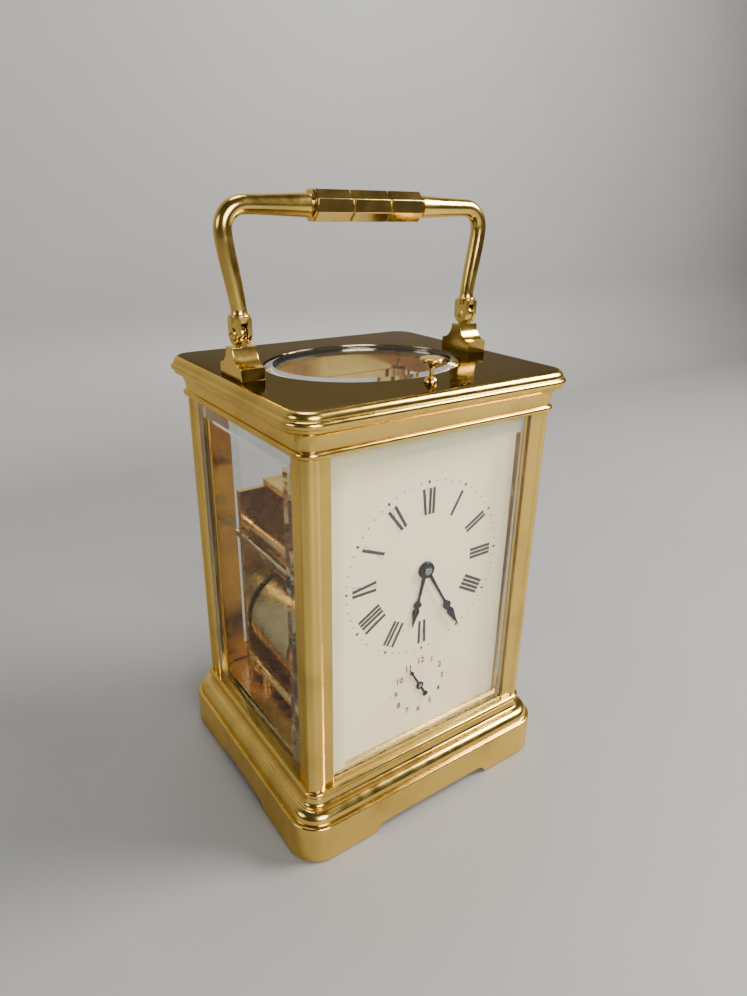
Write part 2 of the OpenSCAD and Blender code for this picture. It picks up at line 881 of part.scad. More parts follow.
module mainspring(at) {
    color(steel)
        difference() {
            rod_y(at, barrel_r - drum_wall - 0.2, drum_y0 + 1, drum_y1 - drum_wall - 0.8);
            rod_y(at, 7, drum_y0, drum_y1);
        }
}

// Barrel arbor with its hub, ratchet wheel and winding square
module barrel_arbor(at) {
    color(steel)
        union() {
            rod_y(at, 1.5, front_plate_y, ratchet_y + 0.5);
            rod_y(at, 4, drum_y0 + 2, drum_y1 - drum_wall - 2);
            translate([at[0], 0, at[1]])
                along_y(ratchet_y, ratchet_y + 1)
                    polygon([for (i = [0:ratchet_teeth - 1], k = [0:1])
                        let (a = 360 * i / ratchet_teeth, r = k == 0 ? ratchet_r : ratchet_r - 0.9)
                        [r * cos(a + k), r * sin(a + k)]]);
            translate([at[0], 0, at[1]])
                along_y(ratchet_y + 0.9, square_end_y)
                    square(2.2, center = true);
        }
}

// Click that rests just clear of the ratchet's teeth
module click(at, wheel_at) {
    dir = atan2(wheel_at[1] - at[1], wheel_at[0] - at[0]);
    reach = norm(wheel_at - at) - ratchet_r - 0.15;
    color(steel)
        difference() {
            union() {
                rod_y(at, click_r, ratchet_y, ratchet_y + 1);
                translate([at[0], 0, at[1]])
                    along_y(ratchet_y, ratchet_y + 1)
                        rotate(dir)
                            polygon([[0, click_r - 0.1], [reach - 0.1, 0.35], [reach, 0],
                                [0, -click_r + 0.1]]);
            }
            rod_y(at, 0.6 + running, ratchet_y - 1, ratchet_y + 2);
        }
}

// ---------- going train ----------

module arbor(at, r, y0, y1) {
    rod_y(at, pivot_r, front_plate_y, back_plate_y + plate_t);
    rod_y(at, r, y0, y1);
}

module intermediate_wheel() {
    color(pale_brass)
        union() {
            arbor(inter_at, 0.8, plate_in_y + 0.4, back_plate_y - 0.4);
            gear(inter_at, inter_pinion, barrel_m, 0.36, train_dir + 180 + 18, great_y - 0.5,
                great_y + 2, 0.79);
            wheel(inter_at, inter_teeth, inter_m, train_dir + 180, -12.2, -11.0, 0.79);
        }
}

// A toothed rim with a spoked middle
module wheel(at, n, m, turn, y0, y1, bore) {
    rim = n * m / 2 - 0.8;
    translate([at[0], 0, at[1]])
        along_y(y0, y1)
            difference() {
                polygon(gear_points(n, m, 0.44, turn));
                circle(r = bore, $fn = 12);
                for (i = [0:3])
                    rotate(90 * i + 45)
                        polygon(concat(arc(0, 0, rim - 0.9, rim - 0.9, -36, 36, 8),
                            arc(0, 0, bore + 1.2, bore + 1.2, 26, -26, 3)));
            }
}

module centre_arbor() {
    color(pale_brass)
        union() {
            rod_y(centre_at, pivot_r, plate_in_y, back_plate_y + plate_t);
            rod_y(centre_at, cannon_r, front_y + 3.45, back_plate_y - 0.4);
            rod_y(centre_at, 0.75, front_y + 3.1, front_y + 3.5);
            rod_y(centre_at, 0.5, front_y + 2.8, front_y + 3.2);
            gear(centre_at, 12, 0.25, 0.36, motion_dir, front_plate_y - 2.6, front_plate_y - 0.6, 0.89);
            gear(centre_at, centre_pinion, inter_m, 0.36, train_dir + 18, -12.6, -10.6, 0.89);
            wheel(centre_at, centre_teeth, centre_m, third_dir, -4.0, -2.8, 0.89);
        }
}

module third_wheel() {
    color(pale_brass)
        union() {
            arbor(third_at, 0.6, plate_in_y + 0.4, back_plate_y - 0.4);
            gear(third_at, third_pinion, centre_m, 0.36, third_dir + 180 + 22.5, -4.4, -2.4, 0.59);
            wheel(third_at, third_teeth, third_m, contrate_dir, 2.0, 2.9, 0.59);
        }
}

module contrate_wheel() {
    color(pale_brass)
        union() {
            arbor(contrate_at, 0.6, plate_in_y + 0.4, back_plate_y - 0.4);
            gear(contrate_at, contrate_pinion, third_m, 0.36, contrate_dir + 180, 1.6, 3.4, 0.5);
            translate([contrate_at[0], 0, contrate_at[1]]) {
                along_y(5.0, 5.6)
                    difference() {
                        circle(r = contrate_r);
                        for (i = [0:2])
                            rotate(120 * i)
                                translate([2.9, 0])
                                    circle(r = 1.3);
                    }
                for (i = [0:contrate_teeth - 1])
                    rotate([0, 360 * i / contrate_teeth, 0])
                        box(-0.09, 0.09, 5.5, 6.8, contrate_r - 0.5, contrate_r - 0.05);
            }
        }
}

// ---------- motion work ----------

module minute_wheel() {
    color(pale_brass)
        difference() {
            union() {
                gear(minute_at, 36, 0.25, 0.44, motion_dir + 180 + 5, front_plate_y - 2.2,
                    front_plate_y - 1.2, 0.5);
                gear(minute_at, 10, 0.24, 0.36, motion_dir + 180, front_plate_y - 4.9,
                    front_plate_y - 2.1, 0.5);
                rod_y(minute_at, 0.85, front_plate_y - 4.9, front_plate_y - 1.2);
            }
            rod_y(minute_at, 0.6 + running, front_plate_y - 6, front_plate_y);
        }
}

module hour_wheel() {
    color(pale_brass)
        difference() {
            union() {
                gear(centre_at, 40, 0.24, 0.44, motion_dir + 4.5, front_plate_y - 4.5,
                    front_plate_y - 3.5, 1.2);
                rod_y(centre_at, hour_pipe_r, front_y + 3.8, front_plate_y - 3.5);
            }
            rod_y(centre_at, cannon_r + running, front_y + 2, front_plate_y);
        }
}

module alarm_arbor() {
    color(steel)
        union() {
            rod_y(alarm_at, 0.7, front_y + 3.9, square_end_y - 1);
            rod_y(alarm_at, 4.5, front_plate_y - 2.4, front_plate_y - 1.6);
            rod_y(alarm_at, 1.6, front_plate_y - 1.7, front_plate_y - 0.3);
            rod_y(alarm_at, 1.8, back_plate_y + plate_t + 0.5, square_end_y - 1);
        }
}

// ---------- platform and escapement ----------

module post_z(at, r, z0, z1) {
    translate([at[0], at[1], z0])
        cylinder(r = r, h = z1 - z0);
}

module platform() {
    x = escape_at[0];
    color(pale_brass)
        difference() {
            union() {
                box(-24, 8, front_plate_y, back_plate_y + plate_t, platform_z, platform_top);
                box(x - 1.5, x + 1.5, escape_y + 2.0, escape_y + 4, 88.6, platform_z + eps);
                box(x - 1.5, x + 1.5, escape_y - 0.5, escape_y + 4, 88.6, 89.6);
                box(x - 4.4, x + 8.4, escape_y + 8.6, escape_y + 11.6, platform_top - eps, 100.4);
                box(balance_at[0] - 2.5, balance_at[0] + 2.5, -8, -3.5, platform_top - eps, 105.8);
            }
            post_z(escape_at, 0.9, 94, 98);
            post_z(escape_at, 0.25 + running, 88, 90);
            for (at = [lever_at, balance_at])
                post_z(at, 0.25 + running, 96, 98);
        }
}

module escape_wheel() {
    color(pale_brass)
        union() {
            post_z(escape_at, 0.25, 88.8, 101.2);
            translate([0, 0, 90])
                translate(escape_at)
                    linear_extrude(height = 2.6)
                        polygon(gear_points(6, 0.2, 0.36, 30, 1.0, 0.9));
            translate([0, 0, 98.6])
                translate(escape_at)
                    linear_extrude(height = 0.4)
                        difference() {
                            polygon([for (i = [0:escape_teeth - 1], k = [0:2])
                                let (a = 360 / escape_teeth * i + [0, 3, 14][k], r = [3.8, 3.7, 2.9][k])
                                [r * cos(a), r * sin(a)]]);
                            for (i = [0:3])
                                rotate(90 * i + 45)
                                    translate([1.7, 0])
                                        circle(r = 0.8);
                        }
        }
}

module escape_cock() {
    x = escape_at[0];
    y1 = escape_y + 11.6;
    color(pale_brass)
        difference() {
            union() {
                box(x - 4.4, x + 8.4, y1 - 3, y1, 100.4, 101.4);
                for (px = [x, lever_at[0]])
                    box(px - 1.3, px + 1.3, escape_y, y1 - 2.5, 100.4, 101.4);
                for (at = [escape_at, lever_at])
                    post_z(at, 1.3, 100.4, 101.4);
            }
            for (at = [escape_at, lever_at])
                post_z(at, 0.25 + running, 100, 102);
        }
}

// Lever with its two pallets, which are kept clear of the escape wheel
module pallet_lever() {
    color(steel)
        union() {
            post_z(lever_at, 0.25, 96.4, 101.2);
            translate([lever_at[0], lever_at[1], 99.4])
                linear_extrude(height = 0.4)
                    union() {
                        circle(r = 0.9);
                        polygon([[-0.4, -3.4], [0.4, -3.4], [0.6, 0], [0.4, 3.4], [-0.4, 3.4],
                            [-0.6, 0]]);
                        polygon([[0, -0.5], [4.6, -0.3], [5.4, -0.8], [5.4, -0.45], [4.9, 0],
                            [5.4, 0.45], [5.4, 0.8], [4.6, 0.3], [0, 0.5]]);
                    }
            for (s = [-1, 1])
                translate([lever_at[0], lever_at[1] + s * 3.1, 98.6])
                    linear_extrude(height = 0.9)
                        polygon([[-0.3, -0.3], [0.4, -0.3], [0.4, 0.3], [-0.3, 0.3]]);
        }
}

module balance_wheel() {
    color(pale_brass)
        union() {
            post_z(balance_at, 0.25, 96.4, 106.9);
            post_z(balance_at, 1.3, 100.3, 100.8);
            post_z(balance_at, 0.6, 97.4, 104.9);
            translate([balance_at[0], balance_at[1], 103]) {
                linear_extrude(height = 1)
                    difference() {
                        circle(r = balance_r);
                        circle(r = balance_r - 1);
                    }
                translate([0, 0, 0.25])
                    linear_extrude(height = 0.5)
                        union() {
                            square([2 * balance_r - 1, 1.2], center = true);
                            circle(r = 1.3);
                        }
            }
        }
}

module hairspring() {
    color(blued)
        translate([balance_at[0], balance_at[1], 105.2])
            rotate([0, 0, -90])
                union() {
                    for (k = [0:7])
                        linear_extrude(height = 0.35)
                            half_ring(1.1 + 0.3 * k, 0.1, k);
                    translate([3.5, 0, 0])
                        cylinder(r = 0.3, h = 0.6);
                }
}

// Half of a thin ring; each next half sits on the other side, so that they join as a spiral
module half_ring(r, w, k) {
    shift = k % 2 == 0 ? 0 : 0.3;
    side = k % 2 == 0 ? 0 : 180;
    translate([shift, 0])
        rotate(side)
            polygon(concat(arc(0, 0, r + w / 2, r + w / 2, 0, 180, 16),
                arc(0, 0, r - w / 2, r - w / 2, 180, 0, 16)));
}

module balance_cock() {
    color(pale_brass)
        difference() {
            union() {
                box(balance_at[0] - 2.5, balance_at[0] + 2.5, -8, -3.5, 105.8, 107.2);
                translate([0, 0, 105.8])
                    linear_extrude(height = 1.4)
                        polygon([[balance_at[0] - 2.5, -4], [balance_at[0] - 1.6, escape_y - 1.4],
                            [balance_at[0] + 1.6, escape_y - 1.4], [balance_at[0] + 2.5, -4]]);
                post_z(balance_at, 2.1, 105.8, 107.2);
            }
            post_z(balance_at, 0.25 + running, 105, 108);
        }
}

// ---------- strike work ----------

module strike_wheel() {
    color(pale_brass)
        union() {
            arbor(strike_wheel_at, 0.8, plate_in_y + 0.4, back_plate_y - 0.4);
            gear(strike_wheel_at, inter_pinion, barrel_m, 0.36, strike_dir + 180 + 18, great_y - 0.5,
                great_y + 2, 0.79);
            wheel(strike_wheel_at, strike_teeth, strike_m, fly_dir, -14, -12.8, 0.79);
            for (i = [0:7])
                rod_y(polar(strike_wheel_at, 6.4, 45 * i + 10), 0.35, -16, -13.9);
        }
}

module fly() {
    color(pale_brass)
        union() {
            arbor(fly_at, 0.5, plate_in_y + 0.4, back_plate_y - 0.4);
            gear(fly_at, fly_pinion, strike_m, 0.34, fly_dir + 180 + 180 / fly_pinion, -14.4, -12.4, 0.49);
            box(fly_at[0] - 4, fly_at[0] + 4, 14.5, 19.5, fly_at[1] - 0.3, fly_at[1] + 0.3);
            rod_y(fly_at, 0.9, 14, 20);
        }
}

module hammer() {
    color(steel)
        union() {
            rod_y(hammer_at, 0.5, front_plate_y, back_plate_y);
            rod_y(hammer_at, 0.8, plate_in_y + 0.4, gong_y + 0.6);
            rod_y(hammer_at, 1.5, gong_y - 1.4, gong_y + 0.8);
            translate([hammer_at[0], 0, hammer_at[1]])
                along_y(gong_y - 0.6, gong_y + 0.6)
                    polygon([[-0.8, 0], [9.6, -9.4], [10.6, -8.4], [0.8, 1]]);
            translate([hammer_at[0] + 9.6, 0, hammer_at[1] - 9.4])
                rotate([0, 45, 0])
                    box(-2.2, 2.2, gong_y - 1.6, gong_y + 1.6, -1.6, 1.6);
        }
}

// Flat coil of half rings on a block that is screwed to the bottom plate
module gong() {
    color(steel)
        translate([gong_at[0], gong_y, gong_at[1]])
            rotate([90, 0, 0])
                union()
                    for (k = [0:gong_turns - 1])
                        translate([k % 2 == 0 ? 0 : gong_pitch / 2, 0, 0])
                            rotate([0, 0, k % 2 == 0 ? 0 : 180])
                                rotate_extrude(angle = 180)
                                    translate([gong_r0 + gong_pitch / 2 * k, 0])
                                        circle(r = gong_wire);
    color(brass)
        difference() {
            union() {
                box(19.4, 24.6, 26.5, 33, deck_z, 30);
                box(20.4, 23.2, gong_y - 1.3, gong_y + 1.3, 29.9, gong_at[1]);
            }
            translate([22, 28.6, deck_z - 1])
                cylinder(r = screw_r + running, h = 6);
        }
}

base();
bottom_plate();
place_pillar(-1, -1);  // pillar_front_left
place_pillar(1, -1);  // pillar_front_right
place_pillar(-1, 1);  // pillar_rear_left
place_pillar(1, 1);  // pillar_rear_right
top_frame();
top_glass();
front_glass();
side_glass(-1);  // left_glass
side_glass(1);  // right_glass
door_frame();
door_glass();
door_knob();
door_hinge_pins();
case_screws();
bracket(-1);  // bracket_left
bracket(1);  // bracket_right
handle_arm(-1);  // handle_arm_left
handle_arm(1);  // handle_arm_right
handle_grip();
handle_pivot_screws();
repeat_button();
button_bush();
repeat_lever();
dial();
hour_hand();
minute_hand();
alarm_hand();
hand_collet();
front_plate();
back_plate();
movement_pillars();
plate_screws();
barrel(going_at, train_dir + 180);  // going_barrel
mainspring(going_at);  // going_mainspring
barrel_arbor(going_at);  // going_arbor
click(going_click_at, going_at);  // going_click
barrel(strike_at, strike_dir);  // strike_barrel
mainspring(strike_at);  // strike_mainspring
barrel_arbor(strike_at);  // strike_arbor
click(strike_click_at, strike_at);  // strike_click
intermediate_wheel();
centre_arbor();
minute_wheel();
hour_wheel();
third_wheel();
contrate_wheel();
escape_wheel();
pallet_lever();
balance_wheel();
hairspring();
balance_cock();
escape_cock();
platform();
strike_wheel();
fly();
hammer();
gong();
alarm_arbor();
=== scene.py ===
"""Carriage clock: moulded brass case, bevelled glasses, enamel dial, folding handle and movement."""

import json
import math

import bpy
from bpy.props import FloatProperty, FloatVectorProperty, PointerProperty
from mathutils import Matrix, Vector

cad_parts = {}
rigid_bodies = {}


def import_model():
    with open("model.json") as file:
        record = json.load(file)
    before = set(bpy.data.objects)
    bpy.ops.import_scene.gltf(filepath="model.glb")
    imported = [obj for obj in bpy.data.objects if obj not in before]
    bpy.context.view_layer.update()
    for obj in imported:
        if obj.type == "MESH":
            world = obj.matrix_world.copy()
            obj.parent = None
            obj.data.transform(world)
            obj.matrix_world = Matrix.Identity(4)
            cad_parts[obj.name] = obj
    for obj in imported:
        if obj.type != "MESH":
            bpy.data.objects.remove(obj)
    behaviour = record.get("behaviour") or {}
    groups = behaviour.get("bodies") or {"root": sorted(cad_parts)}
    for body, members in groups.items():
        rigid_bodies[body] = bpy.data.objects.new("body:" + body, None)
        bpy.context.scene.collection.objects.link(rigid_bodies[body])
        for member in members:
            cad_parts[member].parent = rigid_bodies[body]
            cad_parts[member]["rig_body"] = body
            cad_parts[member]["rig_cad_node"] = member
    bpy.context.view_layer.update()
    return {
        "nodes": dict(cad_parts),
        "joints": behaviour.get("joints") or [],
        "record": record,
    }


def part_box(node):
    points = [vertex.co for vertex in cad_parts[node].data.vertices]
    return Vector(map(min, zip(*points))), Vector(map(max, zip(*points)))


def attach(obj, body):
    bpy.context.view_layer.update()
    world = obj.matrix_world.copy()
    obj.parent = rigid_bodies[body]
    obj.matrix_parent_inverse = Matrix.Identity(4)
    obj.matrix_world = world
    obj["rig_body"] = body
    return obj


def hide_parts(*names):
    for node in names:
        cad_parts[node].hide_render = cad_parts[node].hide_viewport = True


bl_info = {
    "name": "Carriage clock",
    "version": (1, 0, 0),
    "blender": (4, 5, 0),
    "location": "3D View > Sidebar > Clock",
    "description": "Builds the case, glasses, dial, handle and movement of a carriage clock",
    "category": "Add Mesh",
}

for old in list(bpy.data.objects):
    bpy.data.objects.remove(old)
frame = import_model()
MM = 0.001
FRAME_BODY = {n: b for b, ns in frame["record"]["behaviour"]["bodies"].items() for n in ns}


# ---------- settings ----------


def colour_setting(name, note, value):
    return FloatVectorProperty(name=name, description=note, subtype="COLOR", default=value, min=0, max=1)


def number_setting(name, note, value, unit="LENGTH"):
    return FloatProperty(name=name, description=note, unit=unit, default=value)


class ClockCaseSettings(bpy.types.PropertyGroup):
    """Sizes and colours of the case and the handle."""

    brass: colour_setting("Brass", "Colour of the polished case", (0.80, 0.55, 0.14))
    # The darker brass colour gives both random darker patches of tone and the painted shade in recesses
    tarnish: colour_setting("Tarnish", "Colour of the brass where it has darkened", (0.27, 0.165, 0.04))
    edge: number_setting("Edge break", "Width of the polished edges of the pillars", 0.00018)
    corner: number_setting("Corner radius", "Radius of the case corners at the pillars' face", 0.0035)
    bevel: number_setting("Glass bevel", "Width of the ground bevel round each glass", 0.0046)
    tint: colour_setting("Glass tint", "Colour seen in the ground bevels", (0.85, 0.925, 0.87))


class ClockDialSettings(bpy.types.PropertyGroup):
    """Sizes and colours of the dial and the hands."""

    enamel: colour_setting("Enamel", "Colour of the dial", (0.98, 0.84, 0.58))
    ink: colour_setting("Ink", "Colour of the fired numerals", (0.020, 0.016, 0.014))
    numeral_out: number_setting("Numeral radius", "Outer radius of the hour numerals", 0.0257)
    numeral_in: number_setting("Numeral foot", "Inner radius of the hour numerals", 0.0176)
    hand: colour_setting("Hands", "Colour of the blued hands", (0.022, 0.024, 0.040))


class ClockStageSettings(bpy.types.PropertyGroup):
    """Floor, light and camera."""

    floor: colour_setting("Floor", "Colour of the floor and the backdrop", (0.27, 0.27, 0.268))
    key: number_setting("Key light", "Power of the large soft light", 17.0, "POWER")
    fill: number_setting("Fill light", "Power of the light in front of the dial", 9.0, "POWER")
    sky: number_setting("Surroundings", "Brightness of the surroundings", 0.07, "NONE")
    lens: number_setting("Lens", "Focal length in millimetres on the long side", 25.0, "NONE")


# ---------- materials ----------


def blank(name):
    """A new material with its tree, its shader and its Object coordinates."""
    mat = bpy.data.materials.new(name)
    mat.use_nodes = True
    tree = mat.node_tree
    where = tree.nodes.new("ShaderNodeTexCoord").outputs["Object"]
    return mat, tree, tree.nodes["Principled BSDF"], where


def connect(tree, target, inputs):
    """Links an output to each named input of a node, or sets the input to a value."""
    for key, value in inputs.items():
        if isinstance(value, bpy.types.NodeSocket):
            tree.links.new(value, target.inputs[key])
        else:
            target.inputs[key].default_value = value


def node(tree, kind, result, inputs, **fields):
    """Adds a shader node, sets its fields and inputs, and gives its result."""
    made = tree.nodes.new("ShaderNode" + kind)
    for key, value in fields.items():
        setattr(made, key, value)
    connect(tree, made, inputs)
    return made.outputs[result]


def noise(tree, where, scale, detail=3.0, stretch=None):
    """Noise, stretched where a grain is wanted."""
    if stretch:
        where = node(tree, "Mapping", "Vector", {"Vector": where, "Scale": stretch})
    return node(tree, "TexNoise", "Fac", {"Vector": where, "Scale": scale, "Detail": detail})


def ramp(tree, source, *stops):
    """Colours at places along a value."""
    made = tree.nodes.new("ShaderNodeValToRGB")
    while len(made.color_ramp.elements) < len(stops):
        made.color_ramp.elements.new(0.5)
    for element, (spot, tone) in zip(made.color_ramp.elements, stops):
        element.position = spot
        element.color = (*tone, 1)
    connect(tree, made, {"Fac": source})
    return made.outputs["Color"]


def spread(tree, source, low, high, start=0.3, end=0.7):
    """Turns the stretch of a value from start to end into one from low to high."""
    return node(tree, "MapRange", "Result", {"Value": source, "From Min": start, "From Max": end,
                                             "To Min": low, "To Max": high})


def bump(tree, source, strength, distance):
    return node(tree, "Bump", "Normal", {"Height": source, "Strength": strength, "Distance": distance})


def mix(tree, factor, first, second, **fields):
    return node(tree, "Mix", "Result", {"Factor": factor, "A": first, "B": second},
                data_type="RGBA", **fields)


def metal(name, bright, dark, rough=(0.14, 0.26), patch=70, grain=None, grain_scale=900,
          depth=0.00002, recess=0.5, rim=(1.0, 0.86, 0.60)):
    """Metal with soft patches of tone, a varying polish, fine marks, and painted shade that darkens its
    recesses.
    """
    mat, tree, shader, where = blank(name)
    mid = tuple((a * 2 + b) / 3 for a, b in zip(bright, dark))
    light = tuple(min(1, c * 1.06) for c in bright)
    tone = ramp(tree, noise(tree, where, patch, 4.0), (0.28, mid), (0.52, bright), (0.80, light))
    # Painted shade: ambient occlusion darkens the recesses towards the dark colour
    if recess:
        open_share = node(tree, "AmbientOcclusion", "AO", {"Distance": 0.0012}, samples=6)
        tone = mix(tree, spread(tree, open_share, recess, 0.0, 0.25, 0.85), tone, (*dark, 1))
    connect(tree, shader, {
        "Base Color": tone, "Metallic": 1.0, "Specular Tint": (*rim, 1),
        "Roughness": spread(tree, noise(tree, where, 240, 5.0), *rough),
        "Normal": bump(tree, noise(tree, where, grain_scale, 3.0, grain), 0.35, depth)})
    return mat


def build_materials(case, dial):
    # The darker case colour serves both the random darker patches and the painted shade in recesses
    brass, tarnish = tuple(case.brass), tuple(case.tarnish)
    return {
        "case_brass": metal("lacquered_brass", brass, tarnish, (0.13, 0.24), depth=0.000012),
        # Painted reflection: the top plate's brass is dark, with a dim edge tint, as if it mirrored dark
        # surroundings
        "painted_reflection_brass": metal("dark_painted_reflection", (0.25, 0.205, 0.13), (0.11, 0.085, 0.055), (0.05, 0.16),
                           patch=40, depth=0.000005, recess=0.2, rim=(0.38, 0.34, 0.28)),
        "trim_brass": metal("turned_brass", (0.86, 0.60, 0.18), tarnish, (0.12, 0.2), depth=0.00001),
        "plate_brass": metal("grained_plate", (0.78, 0.56, 0.25), (0.30, 0.18, 0.06), (0.2, 0.34),
                             grain=(1, 1, 0.05), grain_scale=2600, depth=0.00001),
        "barrel_brass": metal("turned_barrel", (0.64, 0.55, 0.28), (0.26, 0.20, 0.09), (0.2, 0.32),
                              grain=(0.06, 1, 0.06), grain_scale=2600, depth=0.000012),
        "wheel_brass": metal("cut_brass", (0.84, 0.60, 0.25), (0.34, 0.20, 0.06), (0.16, 0.28)),
        "steel": metal("polished_steel", (0.55, 0.55, 0.56), (0.16, 0.15, 0.15), (0.16, 0.3),
                       grain=(1, 0.06, 1), grain_scale=2200, rim=(1, 1, 1)),
        "spring_steel": metal("tempered_steel", (0.30, 0.32, 0.37), (0.08, 0.08, 0.10), (0.22, 0.34),
                              rim=(1, 1, 1)),
        "blued_steel": metal("blued_hands", tuple(dial.hand), (0.01, 0.01, 0.014), (0.16, 0.28),
                             patch=160, depth=0.000006, recess=0.0, rim=(0.6, 0.6, 0.7)),
        "enamel": enamel_material(tuple(dial.enamel)),
        "ink": ink_material(tuple(dial.ink)),
        "pane": pane_material(),
        "ground_bevel": bevel_material(tuple(case.tint)),
    }


def enamel_material(tone):
    """Fired enamel: nearly even, with a faint cloudiness, a few specks and a soft ripple."""
    mat, tree, shader, where = blank("fired_enamel")
    warm = (tone[0] * 0.97, tone[1] * 0.945, tone[2] * 0.88)
    cloud = ramp(tree, noise(tree, where, 55, 4.0), (0.25, warm), (0.65, tone))
    distance = node(tree, "TexVoronoi", "Distance", {"Vector": where, "Scale": 420})
    specks = ramp(tree, distance, (0.0, (0.55, 0.45, 0.3)), (0.035, (1, 1, 1)))
    connect(tree, shader, {
        "Base Color": mix(tree, 0.35, cloud, specks, blend_type="MULTIPLY"),
        "Roughness": spread(tree, noise(tree, where, 130), 0.16, 0.26),
        "Normal": bump(tree, noise(tree, where, 160, 2.0), 0.2, 0.00005),
        "Coat Weight": 0.4, "Coat Roughness": 0.08})
    return mat


def ink_material(tone):
    """Fired ink, a little worn in places."""
    mat, tree, shader, where = blank("fired_ink")
    worn = tuple(c + 0.02 for c in tone)
    connect(tree, shader, {
        "Base Color": ramp(tree, noise(tree, where, 900, 5.0), (0.35, tone), (0.75, worn)),
        "Roughness": spread(tree, noise(tree, where, 400), 0.3, 0.45)})
    return mat


def pane_material():
    """The flat of a glass: clear, with a faint mirror and faint smears."""
    mat, tree, shader, where = blank("clear_pane")
    connect(tree, shader, {
        "Alpha": 0.045, "Metallic": 1.0,
        "Base Color": ramp(tree, noise(tree, where, 30),
                           (0.3, (0.86, 0.93, 0.90)), (0.7, (0.97, 0.99, 0.97))),
        "Roughness": spread(tree, noise(tree, where, 90, 4.0), 0.01, 0.06)})
    return mat


def bevel_material(tint):
    """Ground and polished bevels and edges: clear, greenish and prismatic."""
    mat, tree, shader, where = blank("ground_bevel")
    deep = tuple(c * 0.93 for c in tint)
    connect(tree, shader, {
        "Transmission Weight": 1.0, "Coat Weight": 0.6, "IOR": 1.14,
        "Base Color": ramp(tree, noise(tree, where, 60), (0.3, deep), (0.7, tint)),
        "Roughness": spread(tree, noise(tree, where, 300, 4.0), 0.0, 0.03)})
    return mat


def floor_material(tone):
    """Matt painted floor, faintly uneven."""
    mat, tree, shader, where = blank("floor_paint")
    low = tuple(c * 0.95 for c in tone)
    connect(tree, shader, {
        "Roughness": 0.55,
        "Base Color": ramp(tree, noise(tree, where, 9, 4.0), (0.3, low), (0.7, tone)),
        "Normal": bump(tree, noise(tree, where, 700, 3.0), 0.12, 0.0002)})
    return mat


MATS = {}


# ---------- modelling helpers ----------


def clear():
    if bpy.context.object and bpy.context.object.mode != "OBJECT":
        bpy.ops.object.mode_set(mode="OBJECT")
    bpy.ops.object.select_all(action="DESELECT")


def pick(obj):
    clear()
    obj.select_set(True)
    bpy.context.view_layer.objects.active = obj


def edit(obj, kind="FACE"):
    """Opens obj in edit mode with all of it selected."""
    pick(obj)
    bpy.ops.object.mode_set(mode="EDIT")
    bpy.ops.mesh.select_mode(type=kind)
    bpy.ops.mesh.select_all(action="SELECT")


def choose(obj, kind, test):
    """Selects the vertices, edges or faces of obj that pass a test, and opens it in edit mode."""
    pick(obj)
    mesh = obj.data
    for group in (mesh.vertices, mesh.edges, mesh.polygons):
        for item in group:
            item.select = False
    for item in {"VERT": mesh.vertices, "EDGE": mesh.edges, "FACE": mesh.polygons}[kind]:
        item.select = bool(test(item))
    bpy.ops.object.mode_set(mode="EDIT")
    bpy.ops.mesh.select_mode(type=kind)


def done():
    bpy.ops.object.mode_set(mode="OBJECT")


def settle(obj):
    """Puts the object's place and turn into its mesh."""
    pick(obj)
    bpy.ops.object.transform_apply(location=True, rotation=True, scale=True)
    return obj


def apply(obj, kind, **values):
    """Adds a modifier, sets it and applies it."""
    pick(obj)
    mod = obj.modifiers.new("step", kind)
    for key, value in values.items():
        setattr(mod, key, value)
    bpy.ops.object.modifier_apply(modifier=mod.name)


def outward(obj):
    """Merges doubled points and turns the faces outwards."""
    edit(obj)
    bpy.ops.mesh.remove_doubles(threshold=2e-6)
    bpy.ops.mesh.normals_make_consistent(inside=False)
    done()


def smooth(obj, angle):
    pick(obj)
    bpy.ops.object.shade_smooth_by_angle(angle=math.radians(angle))


def soften(obj, width, angle=34):
    """Breaks the edges that are sharper than an angle in degrees, by a width in metres."""
    apply(obj, "BEVEL", width=width, segments=2, limit_method="ANGLE",
          angle_limit=math.radians(angle), miter_outer="MITER_ARC")


def paint(obj, *names):
    obj.data.materials.clear()
    for name in names:
        obj.data.materials.append(MATS[name])


def place(obj, name, node_name, finish=None, shade=32, rides=None):
    """Names a finished piece and joins it to the frame, in place of a part or beside it."""
    obj.name = name
    obj.data.name = name
    if finish:
        paint(obj, finish)
    smooth(obj, shade)
    apply(obj, "WEIGHTED_NORMAL", keep_sharp=True, weight=80)
    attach(obj, rides or FRAME_BODY[node_name])
    if rides is None:
        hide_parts(node_name)
    return obj


def copy_of(node_name):
    """A merged copy of one frame part, to be worked further."""
    source = frame["nodes"][node_name]
    obj = source.copy()
    obj.data = source.data.copy()
    bpy.context.scene.collection.objects.link(obj)
    obj.parent = None
    obj.hide_viewport = False
    obj.hide_render = False
    obj.hide_set(False)
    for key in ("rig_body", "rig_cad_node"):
        if key in obj:
            del obj[key]
    edit(obj)
    bpy.ops.mesh.remove_doubles(threshold=2e-6)
    bpy.ops.mesh.dissolve_limited(angle_limit=math.radians(0.3))
    done()
    if obj.data.has_custom_normals:
        bpy.ops.mesh.customdata_custom_splitnormals_clear()
    return obj


def worked(node_name, finish, edge=0.00012, shade=32, cut=None):
    """Takes one frame part, cuts its slots, breaks its edges and gives it its finish."""
    obj = copy_of(node_name)
    if cut:
        saw(obj, cut)
    if edge:
        soften(obj, edge)
    return place(obj, node_name + "_piece", node_name, finish, shade)


def block(at, size, turn=0.0, axis="Z"):
    """A box with its middle at a place in millimetres."""
    clear()
    bpy.ops.mesh.primitive_cube_add(size=1, location=[c * MM for c in at])
    obj = bpy.context.object
    obj.scale = [s * MM for s in size]
    obj.rotation_euler = [turn if letter == axis else 0 for letter in "XYZ"]
    return settle(obj)


